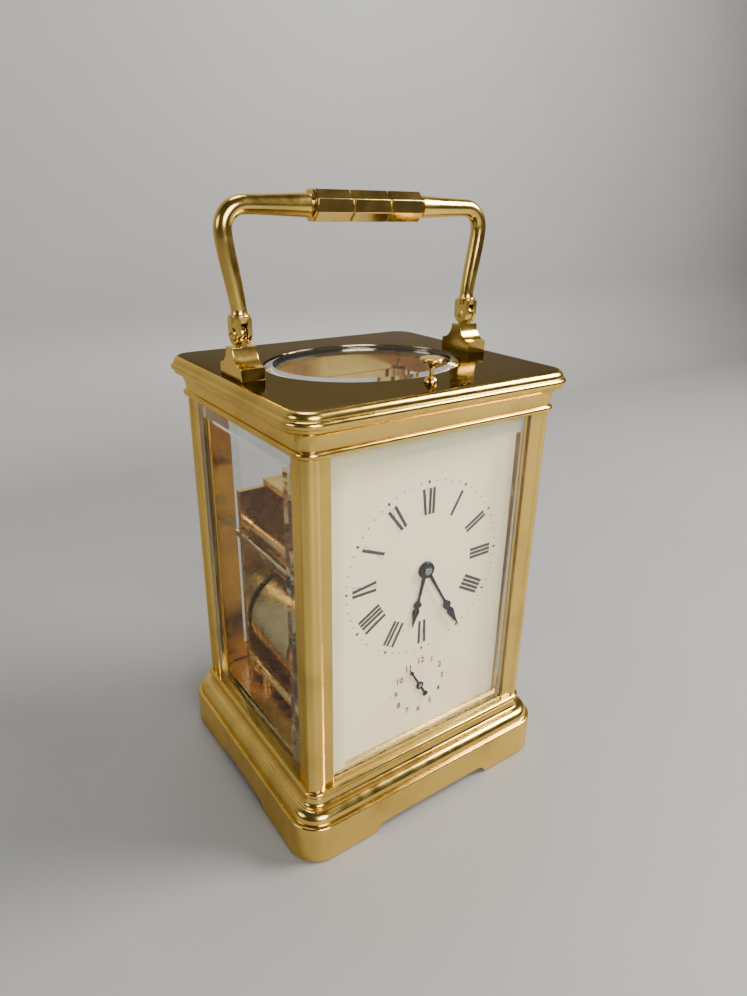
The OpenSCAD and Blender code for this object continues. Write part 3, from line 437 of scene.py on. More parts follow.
def rod(at, radius, height, turn=(0, 0, 0), sides=32):
    """A cylinder with its middle at a place in millimetres."""
    clear()
    bpy.ops.mesh.primitive_cylinder_add(vertices=sides, radius=radius * MM, depth=height * MM,
                                        location=[c * MM for c in at], rotation=turn)
    return settle(bpy.context.object)


def oval_rod(across, along, z0, z1):
    """An upright oval cylinder from one height to another, with its half widths."""
    obj = rod((0, 0, (z0 + z1) / 2), 1, z1 - z0, sides=160)
    obj.scale = (across, along, 1)
    return settle(obj)


def combine(obj, other, how="DIFFERENCE"):
    """Cuts another shape from obj, or adds it to obj, and removes the other."""
    apply(obj, "BOOLEAN", operation=how, solver="EXACT", object=other)
    bpy.data.objects.remove(other)


def join(objs):
    clear()
    for obj in objs:
        obj.select_set(True)
    bpy.context.view_layer.objects.active = objs[0]
    if len(objs) > 1:
        bpy.ops.object.join()
    return objs[0]


def extrude(x, y, z):
    """Draws out what is selected by a step in millimetres."""
    bpy.ops.mesh.extrude_region_move(TRANSFORM_OT_translate={"value": (x * MM, y * MM, z * MM)})


def second_finish(obj, test):
    """Gives the second of two finishes to the faces that pass a test."""
    for face in obj.data.polygons:
        face.material_index = 1 if test(face) else 0


def saw(obj, cuts):
    """Cuts slots, each given as (middle, size, turn, axis) in millimetres."""
    combine(obj, join([block(*c) for c in cuts]))


def prism(points, step):
    """A flat outline in millimetres, drawn out along a step in millimetres."""
    obj = chain(points, closed=True)
    edit(obj, "EDGE")
    bpy.ops.mesh.edge_face_add()
    extrude(*step)
    done()
    outward(obj)
    return obj


def mirrored(half):
    """A whole outline from its right half."""
    return half + [(-u, v) for u, v in reversed(half)]


def chain(points, closed=False):
    """A line of edges through points in millimetres."""
    clear()
    bpy.ops.mesh.primitive_circle_add(vertices=len(points), radius=MM, fill_type="NOTHING")
    obj = bpy.context.object
    for vertex, point in zip(obj.data.vertices, points):
        vertex.co = Vector(point) * MM
    if not closed:
        last = len(points) - 1
        choose(obj, "EDGE", lambda e: set(e.vertices) == {0, last})
        bpy.ops.mesh.delete(type="EDGE")
        done()
    return obj


def turned(points, steps):
    """A turned shape from [radius, height] points in millimetres, about the Z axis."""
    obj = chain([(r, 0, h) for r, h in points])
    edit(obj, "EDGE")
    bpy.ops.mesh.spin(steps=steps, angle=2 * math.pi, center=(0, 0, 0), axis=(0, 0, 1))
    done()
    outward(obj)
    return obj


def move(obj, at, turn=(0, 0, 0)):
    obj.location = Vector(at) * MM
    obj.rotation_euler = turn
    return settle(obj)


def wire(points, radii, sides):
    """A round bar along points in millimetres, with one radius or a radius for each point."""
    obj = chain(points)
    pick(obj)
    bpy.ops.object.convert(target="CURVE")
    obj = bpy.context.object
    obj.data.bevel_depth = MM
    obj.data.bevel_resolution = sides // 4
    obj.data.use_fill_caps = True
    obj.data.dimensions = "3D"
    spline = obj.data.splines[0]
    first = (spline.points[0].co.xyz / MM - Vector(points[0])).length
    last = (spline.points[-1].co.xyz / MM - Vector(points[0])).length
    values = [radii] * len(points) if isinstance(radii, (int, float)) else list(radii)
    if last < first:
        values.reverse()
    for point, radius in zip(spline.points, values):
        point.radius = radius
    pick(obj)
    bpy.ops.object.convert(target="MESH")
    obj = bpy.context.object
    outward(obj)
    return obj


def span(node_name):
    """Lowest and highest corner of a frame part, in millimetres."""
    low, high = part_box(node_name)
    return Vector(low) / MM, Vector(high) / MM


def middle_of(node_name):
    """Middle of a frame part, in millimetres."""
    return [(a + b) / 2 for a, b in zip(*span(node_name))]


def joint_at(name):
    """Place of a joint, in millimetres."""
    return [c / MM for c in next(j for j in frame["joints"] if j["name"] == name)["pos_m"]]


def spiral(centre, inner, outer, turns, per_turn, start=0.0):
    """Flat spiral from its inner end, as (across, along) in millimetres."""
    steps = int(turns * per_turn)
    out = []
    for i in range(steps + 1):
        a = 2 * math.pi * i / per_turn + start
        r = inner + (outer - inner) * i / steps
        out.append((centre[0] + r * math.cos(a), centre[1] + r * math.sin(a)))
    return out


def arc(cx, cy, rx, ry, start, end, steps):
    """Points of part of an oval, between two angles in degrees."""
    angles = [math.radians(start + (end - start) * i / steps) for i in range(steps + 1)]
    return [(cx + rx * math.cos(a), cy + ry * math.sin(a)) for a in angles]


# Half width and half depth of the case at the pillars' outer faces, in millimetres
CASE_HALF_X = 42.4
CASE_HALF_Y = 37.7


def moulding(section):
    """A moulding round the case; section holds (reach, height) in millimetres."""
    corner = bpy.context.scene.clock_case.corner / MM
    x0, y0 = CASE_HALF_X - corner, CASE_HALF_Y - corner
    obj = chain([(CASE_HALF_X + reach, -y0, z) for reach, z in section], closed=True)
    edit(obj, "EDGE")
    for (dx, dy), (cx, cy) in (((0, 2 * y0), (x0, y0)), ((-2 * x0, 0), (-x0, y0)),
                               ((0, -2 * y0), (-x0, -y0)), ((2 * x0, 0), (x0, -y0))):
        extrude(dx, dy, 0)
        bpy.ops.mesh.spin(steps=14, angle=math.pi / 2 * SPIN_SIGN, center=(cx * MM, cy * MM, 0),
                          axis=(0, 0, 1))
    done()
    outward(obj)
    return obj


SPIN_SIGN = 1


def check_spin():
    """Finds which way a spin turns, so that the mouldings close."""
    global SPIN_SIGN
    obj = chain([(1, 0, 0), (1, 0, 1)])
    edit(obj, "EDGE")
    bpy.ops.mesh.spin(steps=4, angle=math.pi / 2, center=(0, 0, 0), axis=(0, 0, 1))
    done()
    SPIN_SIGN = 1 if min(v.co.y for v in obj.data.vertices) > -0.5 * MM else -1
    bpy.data.objects.remove(obj)


# ---------- operators: case ----------

# Turns that lay an upright shape across the clock, or from front to back
ACROSS = (0, math.pi / 2, 0)
BACKWARDS = (-math.pi / 2, 0, 0)


class CLOCK_OT_base(bpy.types.Operator):
    """Moulded base with its feet, and the plate in its bottom"""

    bl_idname = "clock.base"
    bl_label = "Base"

    def execute(self, context):
        deck = span("base")[1].z
        section = (
            [(-3.4, 0.5), (-2.9, 0)] + [(5.5, 0), (5.9, 0.4)]
            + arc(5.2, 12.3, 0.7, 0.7, 0, 90, 6) + [(4.75, 13.0), (4.7, 13.05), (4.7, 13.55)]
            + arc(1.7, 13.6, 3.0, 3.0, 0, 88, 14) + [(1.62, 16.7)]
            + arc(1.5, deck - 2.1, -1.2, -2.7, 88, 2, 12)
            + arc(0.2, deck - 1.0, 1.0, 1.0, -80, 84, 16) + [(-3.0, deck), (-3.4, deck - 0.2)]
            + [(-3.4, deck - 2.2), (-3.41, 12)])
        obj = moulding(section)
        # Arches between the feet, under the long sides and the short ones
        outline = [(0.0, -1.0), (0.0, 0.0), (1.2, 0.35), (2.3, 1.2), (3.2, 2.3), (4.2, 2.95), (5.4, 3.2)]
        for half_gap, turn in ((24.6, 0), (17.8, math.pi / 2)):
            line = mirrored([(-half_gap + u, v) for u, v in outline])
            cutter = prism([(x, -60, z) for x, z in line], (0, 120, 0))
            combine(obj, move(cutter, (0, 0, 0), (0, 0, turn)))
        soften(obj, 0.00022, 40)
        place(obj, "base_moulding", "base", "case_brass", 30)
        ledge_foot = 12
        height = span("bottom_plate")[0].z - ledge_foot
        middle = (0, 0, ledge_foot + height / 2)
        ledge = block(middle, (2 * (CASE_HALF_X - 3.3), 2 * (CASE_HALF_Y - 3.3), height))
        combine(ledge, block(middle, (2 * (CASE_HALF_X - 7), 2 * (CASE_HALF_Y - 7), height + 2)))
        soften(ledge, 0.00015)
        place(ledge, "base_ledge", "base", "case_brass", rides="clock_frame")
        worked("bottom_plate", "plate_brass", 0.00015)
        return {"FINISHED"}


class CLOCK_OT_top(bpy.types.Operator):
    """Cornice with the polished top plate and its oval opening; the plate and the cornice's top carry a
    painted dark reflection
    """

    bl_idname = "clock.top"
    bl_label = "Top"

    def execute(self, context):
        low, high = span("top_frame")
        under, top = low.z, high.z
        section = (
            [(-3.4, under)] + arc(0.4, under + 1.1, 1.0, 1.0, -88, 84, 16)
            + arc(3.4, under + 2.3, -2.9, 5.2, 2, 88, 14) + [(3.5, under + 7.55), (3.6, under + 7.65)]
            + [(3.6, under + 8.15)] + arc(3.3, under + 9.3, 1.1, 1.1, -74, 74, 14)
            + [(3.48, under + 10.42), (3.5, under + 10.6)]
            + arc(1.5, under + 10.6, 2.0, 1.85, 4, 86, 12) + [(1.2, top), (-2.0, top)]
            + [(-3.4, top - 0.1)])
        rim = moulding(section)
        soften(rim, 0.00012, 46)
        # The cornice's upward top faces take the same painted dark reflection as the top plate
        paint(rim, "case_brass", "painted_reflection_brass")
        second_finish(rim, lambda f: f.normal.z > 0.97 and f.center.z / MM > top - 0.15)
        place(rim, "cornice_moulding", "top_frame", None, 30)
        # The top plate carries the painted dark reflection
        place(self.plate(top), "top_plate", "top_frame", "painted_reflection_brass", 30, rides="clock_frame")
        return {"FINISHED"}

    def plate(self, top):
        """Rounded plate, bored for the oval glass and the button."""
        obj = block((0, 0, top - 1.48), (80.8, 71.4, 3.0))
        choose(obj, "EDGE", lambda e: abs(obj.data.vertices[e.vertices[0]].co.z
                                          - obj.data.vertices[e.vertices[1]].co.z) > MM)
        bpy.ops.mesh.bevel(offset=2.0 * MM, segments=8)
        done()
        for across, along, z0, z1 in ((30, 24, -6, 2), (31.2, 25.2, -1.4, 2)):
            combine(obj, oval_rod(across, along, top + z0, top + z1))
        combine(obj, rod((0, middle_of("button_bush")[1], top), 1.5, 12, sides=40))
        soften(obj, 0.00018, 50)
        return obj


class CLOCK_OT_pillars(bpy.types.Operator):
    """Four corner pillars, each a round column between two flat fillets"""

    bl_idname = "clock.pillars"
    bl_label = "Pillars"

    def execute(self, context):
        edge = context.scene.clock_case.edge
        for name in ("pillar_front_left", "pillar_front_right", "pillar_rear_left", "pillar_rear_right"):
            worked(name, "case_brass", edge, 30)
        return {"FINISHED"}


class CLOCK_OT_glasses(bpy.types.Operator):
    """Bevelled front, side, rear and top glasses"""

    bl_idname = "clock.glasses"
    bl_label = "Glasses"

    def execute(self, context):
        bevel = context.scene.clock_case.bevel / MM
        for name, turn in (("front_glass", 0), ("left_glass", -math.pi / 2),
                           ("right_glass", math.pi / 2), ("door_glass", math.pi)):
            low, high = span(name)
            size = high - low
            faces_y = name in ("front_glass", "door_glass")
            wide, deep = (size.x, size.y) if faces_y else (size.y, size.x)
            outer = {"front_glass": low.y, "left_glass": low.x, "right_glass": -high.x,
                     "door_glass": -high.y}[name]
            obj = self.pane(wide, low.z, high.z, outer, deep, bevel)
            move(obj, (0, 0, 0), (0, 0, turn))
            if faces_y:
                move(obj, (middle_of(name)[0], 0, 0))
            place(obj, name + "_pane", name, None, 12)
        self.oval(bevel)
        return {"FINISHED"}

    def pane(self, wide, z0, z1, outer, deep, bevel, drop=0.5):
        """A pane facing the front, its edges ground back by a drop over the width of the bevel."""
        obj = block((0, outer + deep / 2, (z0 + z1) / 2), (wide, deep, z1 - z0))
        choose(obj, "FACE", lambda f: abs(f.normal.y) > 0.9)
        bpy.ops.mesh.inset(thickness=bevel * MM, use_individual=True)
        done()
        edge_x, edge_z = wide / 2 - 0.2, (z1 - z0) / 2 - 0.2
        middle = (z0 + z1) / 2
        choose(obj, "VERT", lambda v: v.co.y / MM < outer + 0.1 and abs(v.co.x) / MM > edge_x
               and abs(v.co.z / MM - middle) > edge_z)
        bpy.ops.transform.translate(value=(0, drop * MM, 0))
        done()
        paint(obj, "pane", "ground_bevel")
        second_finish(obj, lambda f: abs(f.normal.y) <= 0.999 or abs(f.center.x) / MM >= 1
                      or abs(f.center.z / MM - middle) >= 1)
        outward(obj)
        return obj

    def oval(self, bevel):
        low, high = span("top_glass")
        rise = 0.8
        obj = oval_rod(high.x, high.y, low.z, high.z - rise)
        choose(obj, "FACE", lambda f: abs(f.normal.z) > 0.9)
        bpy.ops.mesh.inset(thickness=bevel * 0.6 * MM, use_individual=True)
        done()
        choose(obj, "FACE", lambda f: f.normal.z > 0.9 and len(f.vertices) > 8)
        bpy.ops.transform.translate(value=(0, 0, rise * MM))
        done()
        paint(obj, "pane", "ground_bevel")
        second_finish(obj, lambda f: len(f.vertices) <= 8)
        place(obj, "top_glass_oval", "top_glass", None, 12)


class CLOCK_OT_door(bpy.types.Operator):
    """Rear door with its knob and hinge pins"""

    bl_idname = "clock.door"
    bl_label = "Rear door"

    def execute(self, context):
        worked("door_frame", "case_brass", 0.00025, 30)
        x, _, z = middle_of("door_knob")
        knob = turned([(0, 0), (0.8, 0), (0.8, 1.7), (1.55, 1.7), (1.65, 1.9), (1.5, 2.15), (0.95, 2.6),
                       (0.95, 2.9)] + arc(1.2, 4.3, 0.9, 0.9, -100, 60, 12) + [(1.0, 5.25), (0, 5.3)], 48)
        move(knob, (x, span("door_knob")[0].y, z), BACKWARDS)
        place(knob, "door_knob_turned", "door_knob", "trim_brass")
        worked("door_hinge_pins", "steel", 0.0001)
        return {"FINISHED"}


# ---------- operators: handle and button ----------


class CLOCK_OT_brackets(bpy.types.Operator):
    """Two flared brackets that carry the handle"""

    bl_idname = "clock.brackets"
    bl_label = "Brackets"

    def execute(self, context):
        for name in ("bracket_left", "bracket_right"):
            worked(name, "case_brass", 0.00025, 30)
        return {"FINISHED"}


# Middle of each fork and its pivot screw, from the middle of the clock, in millimetres
PIVOT_X = 39.4


class CLOCK_OT_handle(bpy.types.Operator):
    """Folding handle: two shaped arms, a faceted grip and slotted pivot screws"""

    bl_idname = "clock.handle"
    bl_label = "Handle"

    def execute(self, context):
        pivot = joint_at("handle_fold")[2]
        grip_low, grip_high = span("handle_grip")
        rise = (grip_low.z + grip_high.z) / 2 - pivot
        for side, name in ((-1, "handle_arm_left"), (1, "handle_arm_right")):
            self.arm(side, name, pivot, rise, grip_high.x)
        self.grip(grip_low, grip_high)
        self.screws(pivot)
        return {"FINISHED"}

    def screws(self, pivot):
        """Pivot screws with a slotted, domed head outside and a burred end inside."""
        seat = span("handle_pivot_screws")[1].x - 0.6
        inner = 2 * PIVOT_X - seat
        made = []
        for s in (-1, 1):
            screw = turned([(0, inner - 0.35), (0.7, inner - 0.3), (1.25, inner)]
                           + [(0.88, inner), (0.88, seat), (1.7, seat), (1.75, seat + 0.25)]
                           + arc(0, seat + 0.25, 1.75, 0.55, 12, 90, 8), 40)
            move(screw, (0, 0, pivot), (0, s * math.pi / 2, 0))
            saw(screw, [((s * (seat + 0.75), 0, pivot), (0.6, 4, 0.42), math.radians(30 * s), "X")])
            made.append(screw)
        place(join(made), "handle_screws_slotted", "handle_pivot_screws", "trim_brass")

    def arm(self, side, name, pivot, rise, grip_end):
        """A fork, a turned neck and a bar that leans out, bends in and swells to the grip."""
        px, bend, bend_z = PIVOT_X, 6.0, 25.4
        line = [(px + x, z, r) for x, z, r in (
            (0, 4.0, 2.1), (0.05, 6.2, 2.12), (0.35, 8.7, 2.18), (0.95, 12.0, 2.26), (1.7, 16.0, 2.34),
            (2.5, 20.0, 2.38), (3.05, 23.2, 2.38), (3.2, bend_z, 2.36))]
        for i in range(1, 13):
            a = math.radians(90 * i / 12)
            line.append((px + 3.2 - bend + bend * math.cos(a), bend_z + (rise - bend_z) * math.sin(a),
                         2.36 + 0.06 * i / 12))
        start = line[-1][0]
        for i in range(1, 7):
            t = i / 6
            line.append((start + (grip_end + 0.2 - start) * t, rise, 2.42 + 0.7 * t ** 1.4))
        line += [(grip_end - 0.05, rise, 1.5), (grip_end - 4.5, rise, 1.5)]
        eased = smooth_line([(x, z) for x, z, r in line])
        bar = wire([(x * side, 0, pivot + z) for x, z in eased], [r for x, z, r in line], 20)
        neck = turned([(0, 3.0), (2.75, 3.0)] + arc(2.45, 4.6, 0.4, 0.4, 0, 80, 5)
                      + [(2.3, 5.1), (2.15, 5.6), (2.1, 6.3), (0, 6.3)], 48)
        move(neck, (side * px, 0, pivot))
        tongue, gap, cheek = 1.5, 0.15, 1.3
        parts = [bar, neck]
        for offset in (-1, 1):
            at = (side * px + offset * (tongue / 2 + gap + cheek / 2), 0, pivot)
            eye = rod(at, 2.8, cheek, ACROSS, 48)
            combine(eye, block((at[0], 0, pivot + 2.1), (cheek, 5.6, 4.2)), "UNION")
            combine(eye, rod(at, 0.9, 4, ACROSS))
            soften(eye, 0.0002)
            parts.append(eye)
        place(join(parts), name + "_shaped", name, "case_brass", 40)

    def grip(self, low, high):
        """Eight-sided grip in three lengths, with turned ends."""
        half = high.x
        flat = (high.z - low.z) / 2
        middle = (low.z + high.z) / 2
        corner = flat / math.cos(math.pi / 8)
        end = [(0, half), (2.6, half), (2.9, half - 0.15), (2.9, half - 0.6), (corner - 0.5, half - 0.75),
               (corner, half - 1.2)]
        line = [(r, -z) for r, z in end]
        for groove in (-half / 3, half / 3):
            line += [(corner, groove - 0.4), (corner - 0.5, groove - 0.08), (corner - 0.5, groove + 0.08),
                     (corner, groove + 0.4)]
        obj = turned(line + end[::-1], 8)
        obj.rotation_euler = (0, 0, math.pi / 8)
        settle(obj)
        move(obj, (0, 0, middle), ACROSS)
        soften(obj, 0.0002, 20)
        place(obj, "handle_grip_faceted", "handle_grip", "trim_brass", 24)


def smooth_line(points):
    """Eases a line's inner points, keeping their number."""
    out = list(points)
    for i in range(2, len(points) - 3):
        out[i] = tuple((a + 2 * b + c) / 4 for a, b, c in zip(points[i - 1], points[i], points[i + 1]))
    return out


class CLOCK_OT_button(bpy.types.Operator):
    """Repeat button with its bush and the lever under it"""

    bl_idname = "clock.button"
    bl_label = "Repeat button"

    def execute(self, context):
        low, high = span("repeat_button")
        top = high.z - 7.0
        y = middle_of("repeat_button")[1]
        head = turned([(0, low.z), (0.5, low.z), (0.6, low.z + 0.1), (0.6, top + 3.75), (0.78, top + 4.1),
                       (1.0, top + 4.5), (1.5, top + 5.2), (2.4, top + 5.5)]
                      + arc(2.75, top + 6.1, 0.55, 0.55, -70, 80, 10)
                      + [(2.2, top + 6.8), (1.2, top + 6.95), (0, top + 7.0)], 48)
        move(head, (0, y, 0))
        place(head, "repeat_button_turned", "repeat_button", "trim_brass")
        bush = turned([(0.66, -3.8), (1.5, -3.8), (1.5, 0), (1.86, 0.02)]
                      + arc(0, 0.05, 1.9, 1.75, 4, 64, 10) + [(0.66, 1.6), (0.66, -3.8)], 48)
        move(bush, (0, y, top))
        place(bush, "button_bush_turned", "button_bush", "trim_brass")
        worked("repeat_lever", "steel", 0.0001)
        return {"FINISHED"}


# ---------- operators: dial and hands ----------


NUMERALS = ["XII", "I", "II", "III", "IIII", "V", "VI", "VII", "VIII", "IX", "X", "XI"]


class CLOCK_OT_dial(bpy.types.Operator):
    """Enamel dial with fired hour numerals, minute ring and alarm ring"""

    bl_idname = "clock.dial"
    bl_label = "Dial"

    def execute(self, context):
        worked("dial", "enamel", 0.00015, 30)
        settings = context.scene.clock_dial
        self.face = span("dial")[0].y - 0.012
        self.strokes = []
        self.centre = joint_at("minute_turn")[::2]
        self.alarm = joint_at("alarm_set")[::2]
        r0, r1 = settings.numeral_in / MM, settings.numeral_out / MM
        for hour, text in enumerate(NUMERALS):
            self.numeral(text, hour * 30, r0, r1)
        minute_ring, alarm_ring = 27.7, 11.2
        for minute in range(60):
            across, along = (0.3, 0.3) if minute % 5 else (0.5, 0.7)
            self.diamond(self.centre, minute * 6, minute_ring, across, along)
        for step in range(12):
            self.diamond(self.alarm, step * 30, alarm_ring, 0.22, 0.3)
        obj = self.sheet()
        apply(obj, "SOLIDIFY", thickness=0.02 * MM, offset=0)
        outward(obj)
        place(obj, "dial_numerals", "dial", "ink", 20, rides="clock_frame")
        place(self.figures(), "alarm_numerals", "dial", "ink", 20, rides="clock_frame")
        return {"FINISHED"}

    def stroke(self, turn, corners, centre=None):
        """One flat stroke, given as (across, outward) corners about a centre, or the main one."""
        x, z = centre or self.centre
        a = math.radians(turn)
        self.strokes.append([(x + u * math.cos(a) + v * math.sin(a),
                              z - u * math.sin(a) + v * math.cos(a)) for u, v in corners])

    def numeral(self, text, turn, r0, r1):
        """Thick and thin strokes with fine serifs, set along the radius."""
        thick, thin, serif, gap = 1.0, 0.13, 0.07, 0.32
        widths = {"I": 1.0, "V": 2.0, "X": 2.25}
        total = sum(widths[c] for c in text) + gap * (len(text) - 1)
        u = -total / 2
        for letter in text:
            w = widths[letter]
            if letter == "I":
                self.bar(turn, u + w / 2, u + w / 2, r0, r1, thick)
            elif letter == "V":
                self.bar(turn, u + w / 2, u + thick / 2 + 0.15, r0, r1, thick)
                self.bar(turn, u + w / 2, u + w - thin, r0, r1, thin)
            else:
                self.bar(turn, u + w - thick / 2 - 0.1, u + thick / 2 + 0.1, r0, r1, thick)
                self.bar(turn, u + thin, u + w - thin, r0, r1, thin)
            u += w + gap
        for r in (r0, r1 - serif):
            half = total / 2 + 0.1
            self.stroke(turn, [(-half, r), (half, r), (half, r + serif), (-half, r + serif)])

    def bar(self, turn, u0, u1, r0, r1, width):
        h = width / 2
        self.stroke(turn, [(u0 - h, r0), (u0 + h, r0), (u1 + h, r1), (u1 - h, r1)])

    def diamond(self, centre, turn, radius, across, along):
        self.stroke(turn, [(0, radius - along), (across, radius), (0, radius + along), (-across, radius)],
                    centre)

    def sheet(self):
        """All strokes as flat faces on the dial."""
        clear()
        bpy.ops.mesh.primitive_plane_add(size=MM)
        obj = bpy.context.object
        edit(obj)
        for _ in range(len(self.strokes) - 1):
            bpy.ops.mesh.primitive_plane_add(size=MM)
        done()
        for index, corners in enumerate(self.strokes):
            face = obj.data.polygons[index]
            for vertex, (x, z) in zip(face.vertices, corners):
                lift = 0.004 * (index % 3)
                obj.data.vertices[vertex].co = Vector((x, self.face - lift, z)) * MM
        return obj

    def figures(self):
        """Plain figures of the alarm ring."""
        made = []
        radius = 9.3
        for hour in range(1, 13):
            a = math.radians(hour * 30)
            clear()
            bpy.ops.object.text_add(rotation=(math.pi / 2, 0, 0))
            text = bpy.context.object
            text.data.body = str(hour)
            text.data.size = 2.9 * MM
            text.data.align_x = "CENTER"
            text.data.align_y = "CENTER"
            text.data.extrude = 0.01 * MM
            text.data.offset = 0.07 * MM
            text.data.resolution_u = 3
            bpy.ops.object.convert(target="MESH")
            text = bpy.context.object
            text.location = ((self.alarm[0] + radius * math.sin(a)) * MM, self.face * MM,
                             (self.alarm[1] + radius * math.cos(a)) * MM)
            made.append(settle(text))
        return join(made)


def hand_outline(length, eye):
    """Half outline of a hand: slender stem, lobed head and a fine point, as (half width, distance)."""
    return [(0.95, 0), (0.62, eye)] + [(width, length * share) for width, share in (
        (0.42, 0.30), (0.36, 0.50), (0.50, 0.545), (1.05, 0.57), (1.45, 0.60), (1.35, 0.635),
        (0.72, 0.655), (0.70, 0.675), (1.12, 0.70), (1.28, 0.73), (1.0, 0.78), (0.55, 0.85),
        (0.26, 0.93), (0.05, 1.0))]


class CLOCK_OT_hands(bpy.types.Operator):
    """Blued hour, minute and alarm hands with the polished collet"""

    bl_idname = "clock.hands"
    bl_label = "Hands"

    def execute(self, context):
        for name, joint, length, boss, bore in (("hour_hand", "hour_turn", 19.0, 2.7, 1.4),
                                                ("minute_hand", "minute_turn", 27.4, 2.6, 0.75)):
            rim = [(boss - 0.35, 0), (boss - 0.1, 0.06), (boss, 0.18)]
            obj = self.hand(name, joint, hand_outline(length, boss * 0.8), rim, bore, 48, 32)
            soften(obj, 0.00007, 40)
            place(obj, name + "_blued", name, "blued_steel")
        half = [(0.55, -5.4), (0.95, -4.9), (0.9, -4.3), (0.4, -3.9), (0.38, -1.5), (0.42, 0), (0.36, 3),
                (0.28, 6.2), (0.62, 6.6), (0.66, 7.0), (0.3, 7.6), (0.05, 8.8)]
        obj = self.hand("alarm_hand", "alarm_set", half, [(1.2, 0), (1.35, 0.08), (1.4, 0.16)], 0.7, 40, 24)
        place(obj, "alarm_hand_blued", "alarm_hand", "blued_steel")
        worked("hand_collet", "steel", 0.0001)
        return {"FINISHED"}

    def hand(self, name, joint, half, rim, bore, steps, sides):
        """A flat blade with a turned boss, bored, and turned the way the frame part points."""
        x, _, z = joint_at(joint)
        low, high = span(name)
        thick = high.y - low.y
        far = max(frame["nodes"][name].data.vertices,
                  key=lambda v: (v.co.x - x * MM) ** 2 + (v.co.z - z * MM) ** 2).co
        turn = math.atan2(far.x - x * MM, far.z - z * MM)
        blade = prism([(u, low.y, v) for u, v in mirrored(half)], (0, thick, 0))
        move(blade, (x, 0, z), (0, turn, 0))
        boss = turned([(bore, 0)] + rim + [(rim[-1][0], thick), (bore, thick), (bore, 0)], steps)
        move(boss, (x, low.y, z), BACKWARDS)
        combine(boss, blade, "UNION")
        combine(boss, rod((x, low.y, z), bore, 4, (math.pi / 2, 0, 0), sides))
        return boss


# ---------- operators: movement ----------


class CLOCK_OT_movement(bpy.types.Operator):
    """Plates, posts, platform, cocks and slotted screws"""

    bl_idname = "clock.movement"
    bl_label = "Movement frame"

    def execute(self, context):
        for name in ("front_plate", "back_plate", "platform"):
            worked(name, "plate_brass", 0.00018, 30)
        for name in ("movement_pillars", "balance_cock", "escape_cock"):
            worked(name, "plate_brass", 0.00015, 30)
        low, high = span("plate_screws")
        post_x, slot = (-29.6, 29.6), (5, 0.5, 0.9)
        posts = [(x, z) for x in post_x for z in (26.5, 82.5)]
        worked("plate_screws", "steel", 0.0001, cut=[
            ((x, y, z), (5, 0.9, 0.5), math.radians(25 + 55 * i), "Y")
            for i, (x, z) in enumerate(posts) for y in (low.y, high.y)])
        # Slots in the heads of the pillars' screws, then of those under the posts and the gong
        cuts = [((x, y, 13.6), (5, 0.5, 1.0), math.radians(20 + 50 * i + 30 * k), "Z")
                for i, x in enumerate((-39.4, 39.4)) for k, y in enumerate((-34.7, 34.7))]
        cuts += [((x, y, 17.9), slot, math.radians(x + y), "Z") for x in post_x for y in (-14, 15)]
        cuts.append(((22, 30, 17.9), slot, 0.4, "Z"))
        worked("case_screws", "steel", 0.0001, cut=cuts)
        return {"FINISHED"}


class CLOCK_OT_barrels(bpy.types.Operator):
    """Going and strike barrels with their arbors, springs and clicks"""

    bl_idname = "clock.barrels"
    bl_label = "Barrels"

    def execute(self, context):
        for side in ("going", "strike"):
            worked(side + "_barrel", "barrel_brass", 0.00015, 34)
            low, high = span(side + "_mainspring")
            cx, _, cz = middle_of(side + "_mainspring")
            outer = (high.x - low.x) / 2
            spring = chain([(x, low.y, z) for x, z in spiral((cx, cz), 7.4, outer - 0.3, 9, 24)])
            edit(spring, "EDGE")
            extrude(0, high.y - low.y, 0)
            done()
            apply(spring, "SOLIDIFY", thickness=0.3 * MM, offset=0)
            outward(spring)
            place(spring, side + "_mainspring_coil", side + "_mainspring", "spring_steel")
            worked(side + "_arbor", "steel", 0.00008)
            worked(side + "_click", "steel", 0.00008)
        return {"FINISHED"}


class CLOCK_OT_wheels(bpy.types.Operator):
    """Wheels of the going train and the motion work"""

    bl_idname = "clock.wheels"
    bl_label = "Wheels"

    def execute(self, context):
        for name in ("intermediate_wheel", "centre_arbor", "minute_wheel", "hour_wheel", "third_wheel",
                     "contrate_wheel"):
            worked(name, "wheel_brass", 0, 34)
        worked("alarm_arbor", "steel", 0.0001)
        return {"FINISHED"}


class CLOCK_OT_escapement(bpy.types.Operator):
    """Escape wheel, lever, balance and hairspring"""

    bl_idname = "clock.escapement"
    bl_label = "Escapement"

    def execute(self, context):
        worked("escape_wheel", "wheel_brass", 0, 34)
        worked("pallet_lever", "steel", 0)
        low, high = span("balance_wheel")
        cx, cy, _ = middle_of("balance_wheel")
        radius = (high.x - low.x) / 2
        wheel = copy_of("balance_wheel")
        soften(wheel, 0.00008)
        weights = []
        for i in range(12):
            a = math.pi * (i + 0.5) / 6
            reach = radius + 0.2
            weight = rod((cx + reach * math.cos(a), cy + reach * math.sin(a), 103.5), 0.42, 0.9,
                         (0, math.pi / 2, a), 12)
            paint(weight, "trim_brass")
            weights.append(weight)
        place(join([wheel] + weights), "balance_wheel_screwed", "balance_wheel", "wheel_brass")
        foot = span("hairspring")[0].z
        line = spiral((cx, cy), 1.0, 3.5, 5, 32, -math.pi / 2)
        coil = wire([(x, y, foot + 0.17) for x, y in line], 0.07, 4)
        stud = turned([(0, 0), (0.3, 0), (0.3, 0.6), (0, 0.6)], 16)
        move(stud, (cx, cy - 3.5, foot))
        place(join([coil, stud]), "hairspring_coil", "hairspring", "blued_steel")
        return {"FINISHED"}


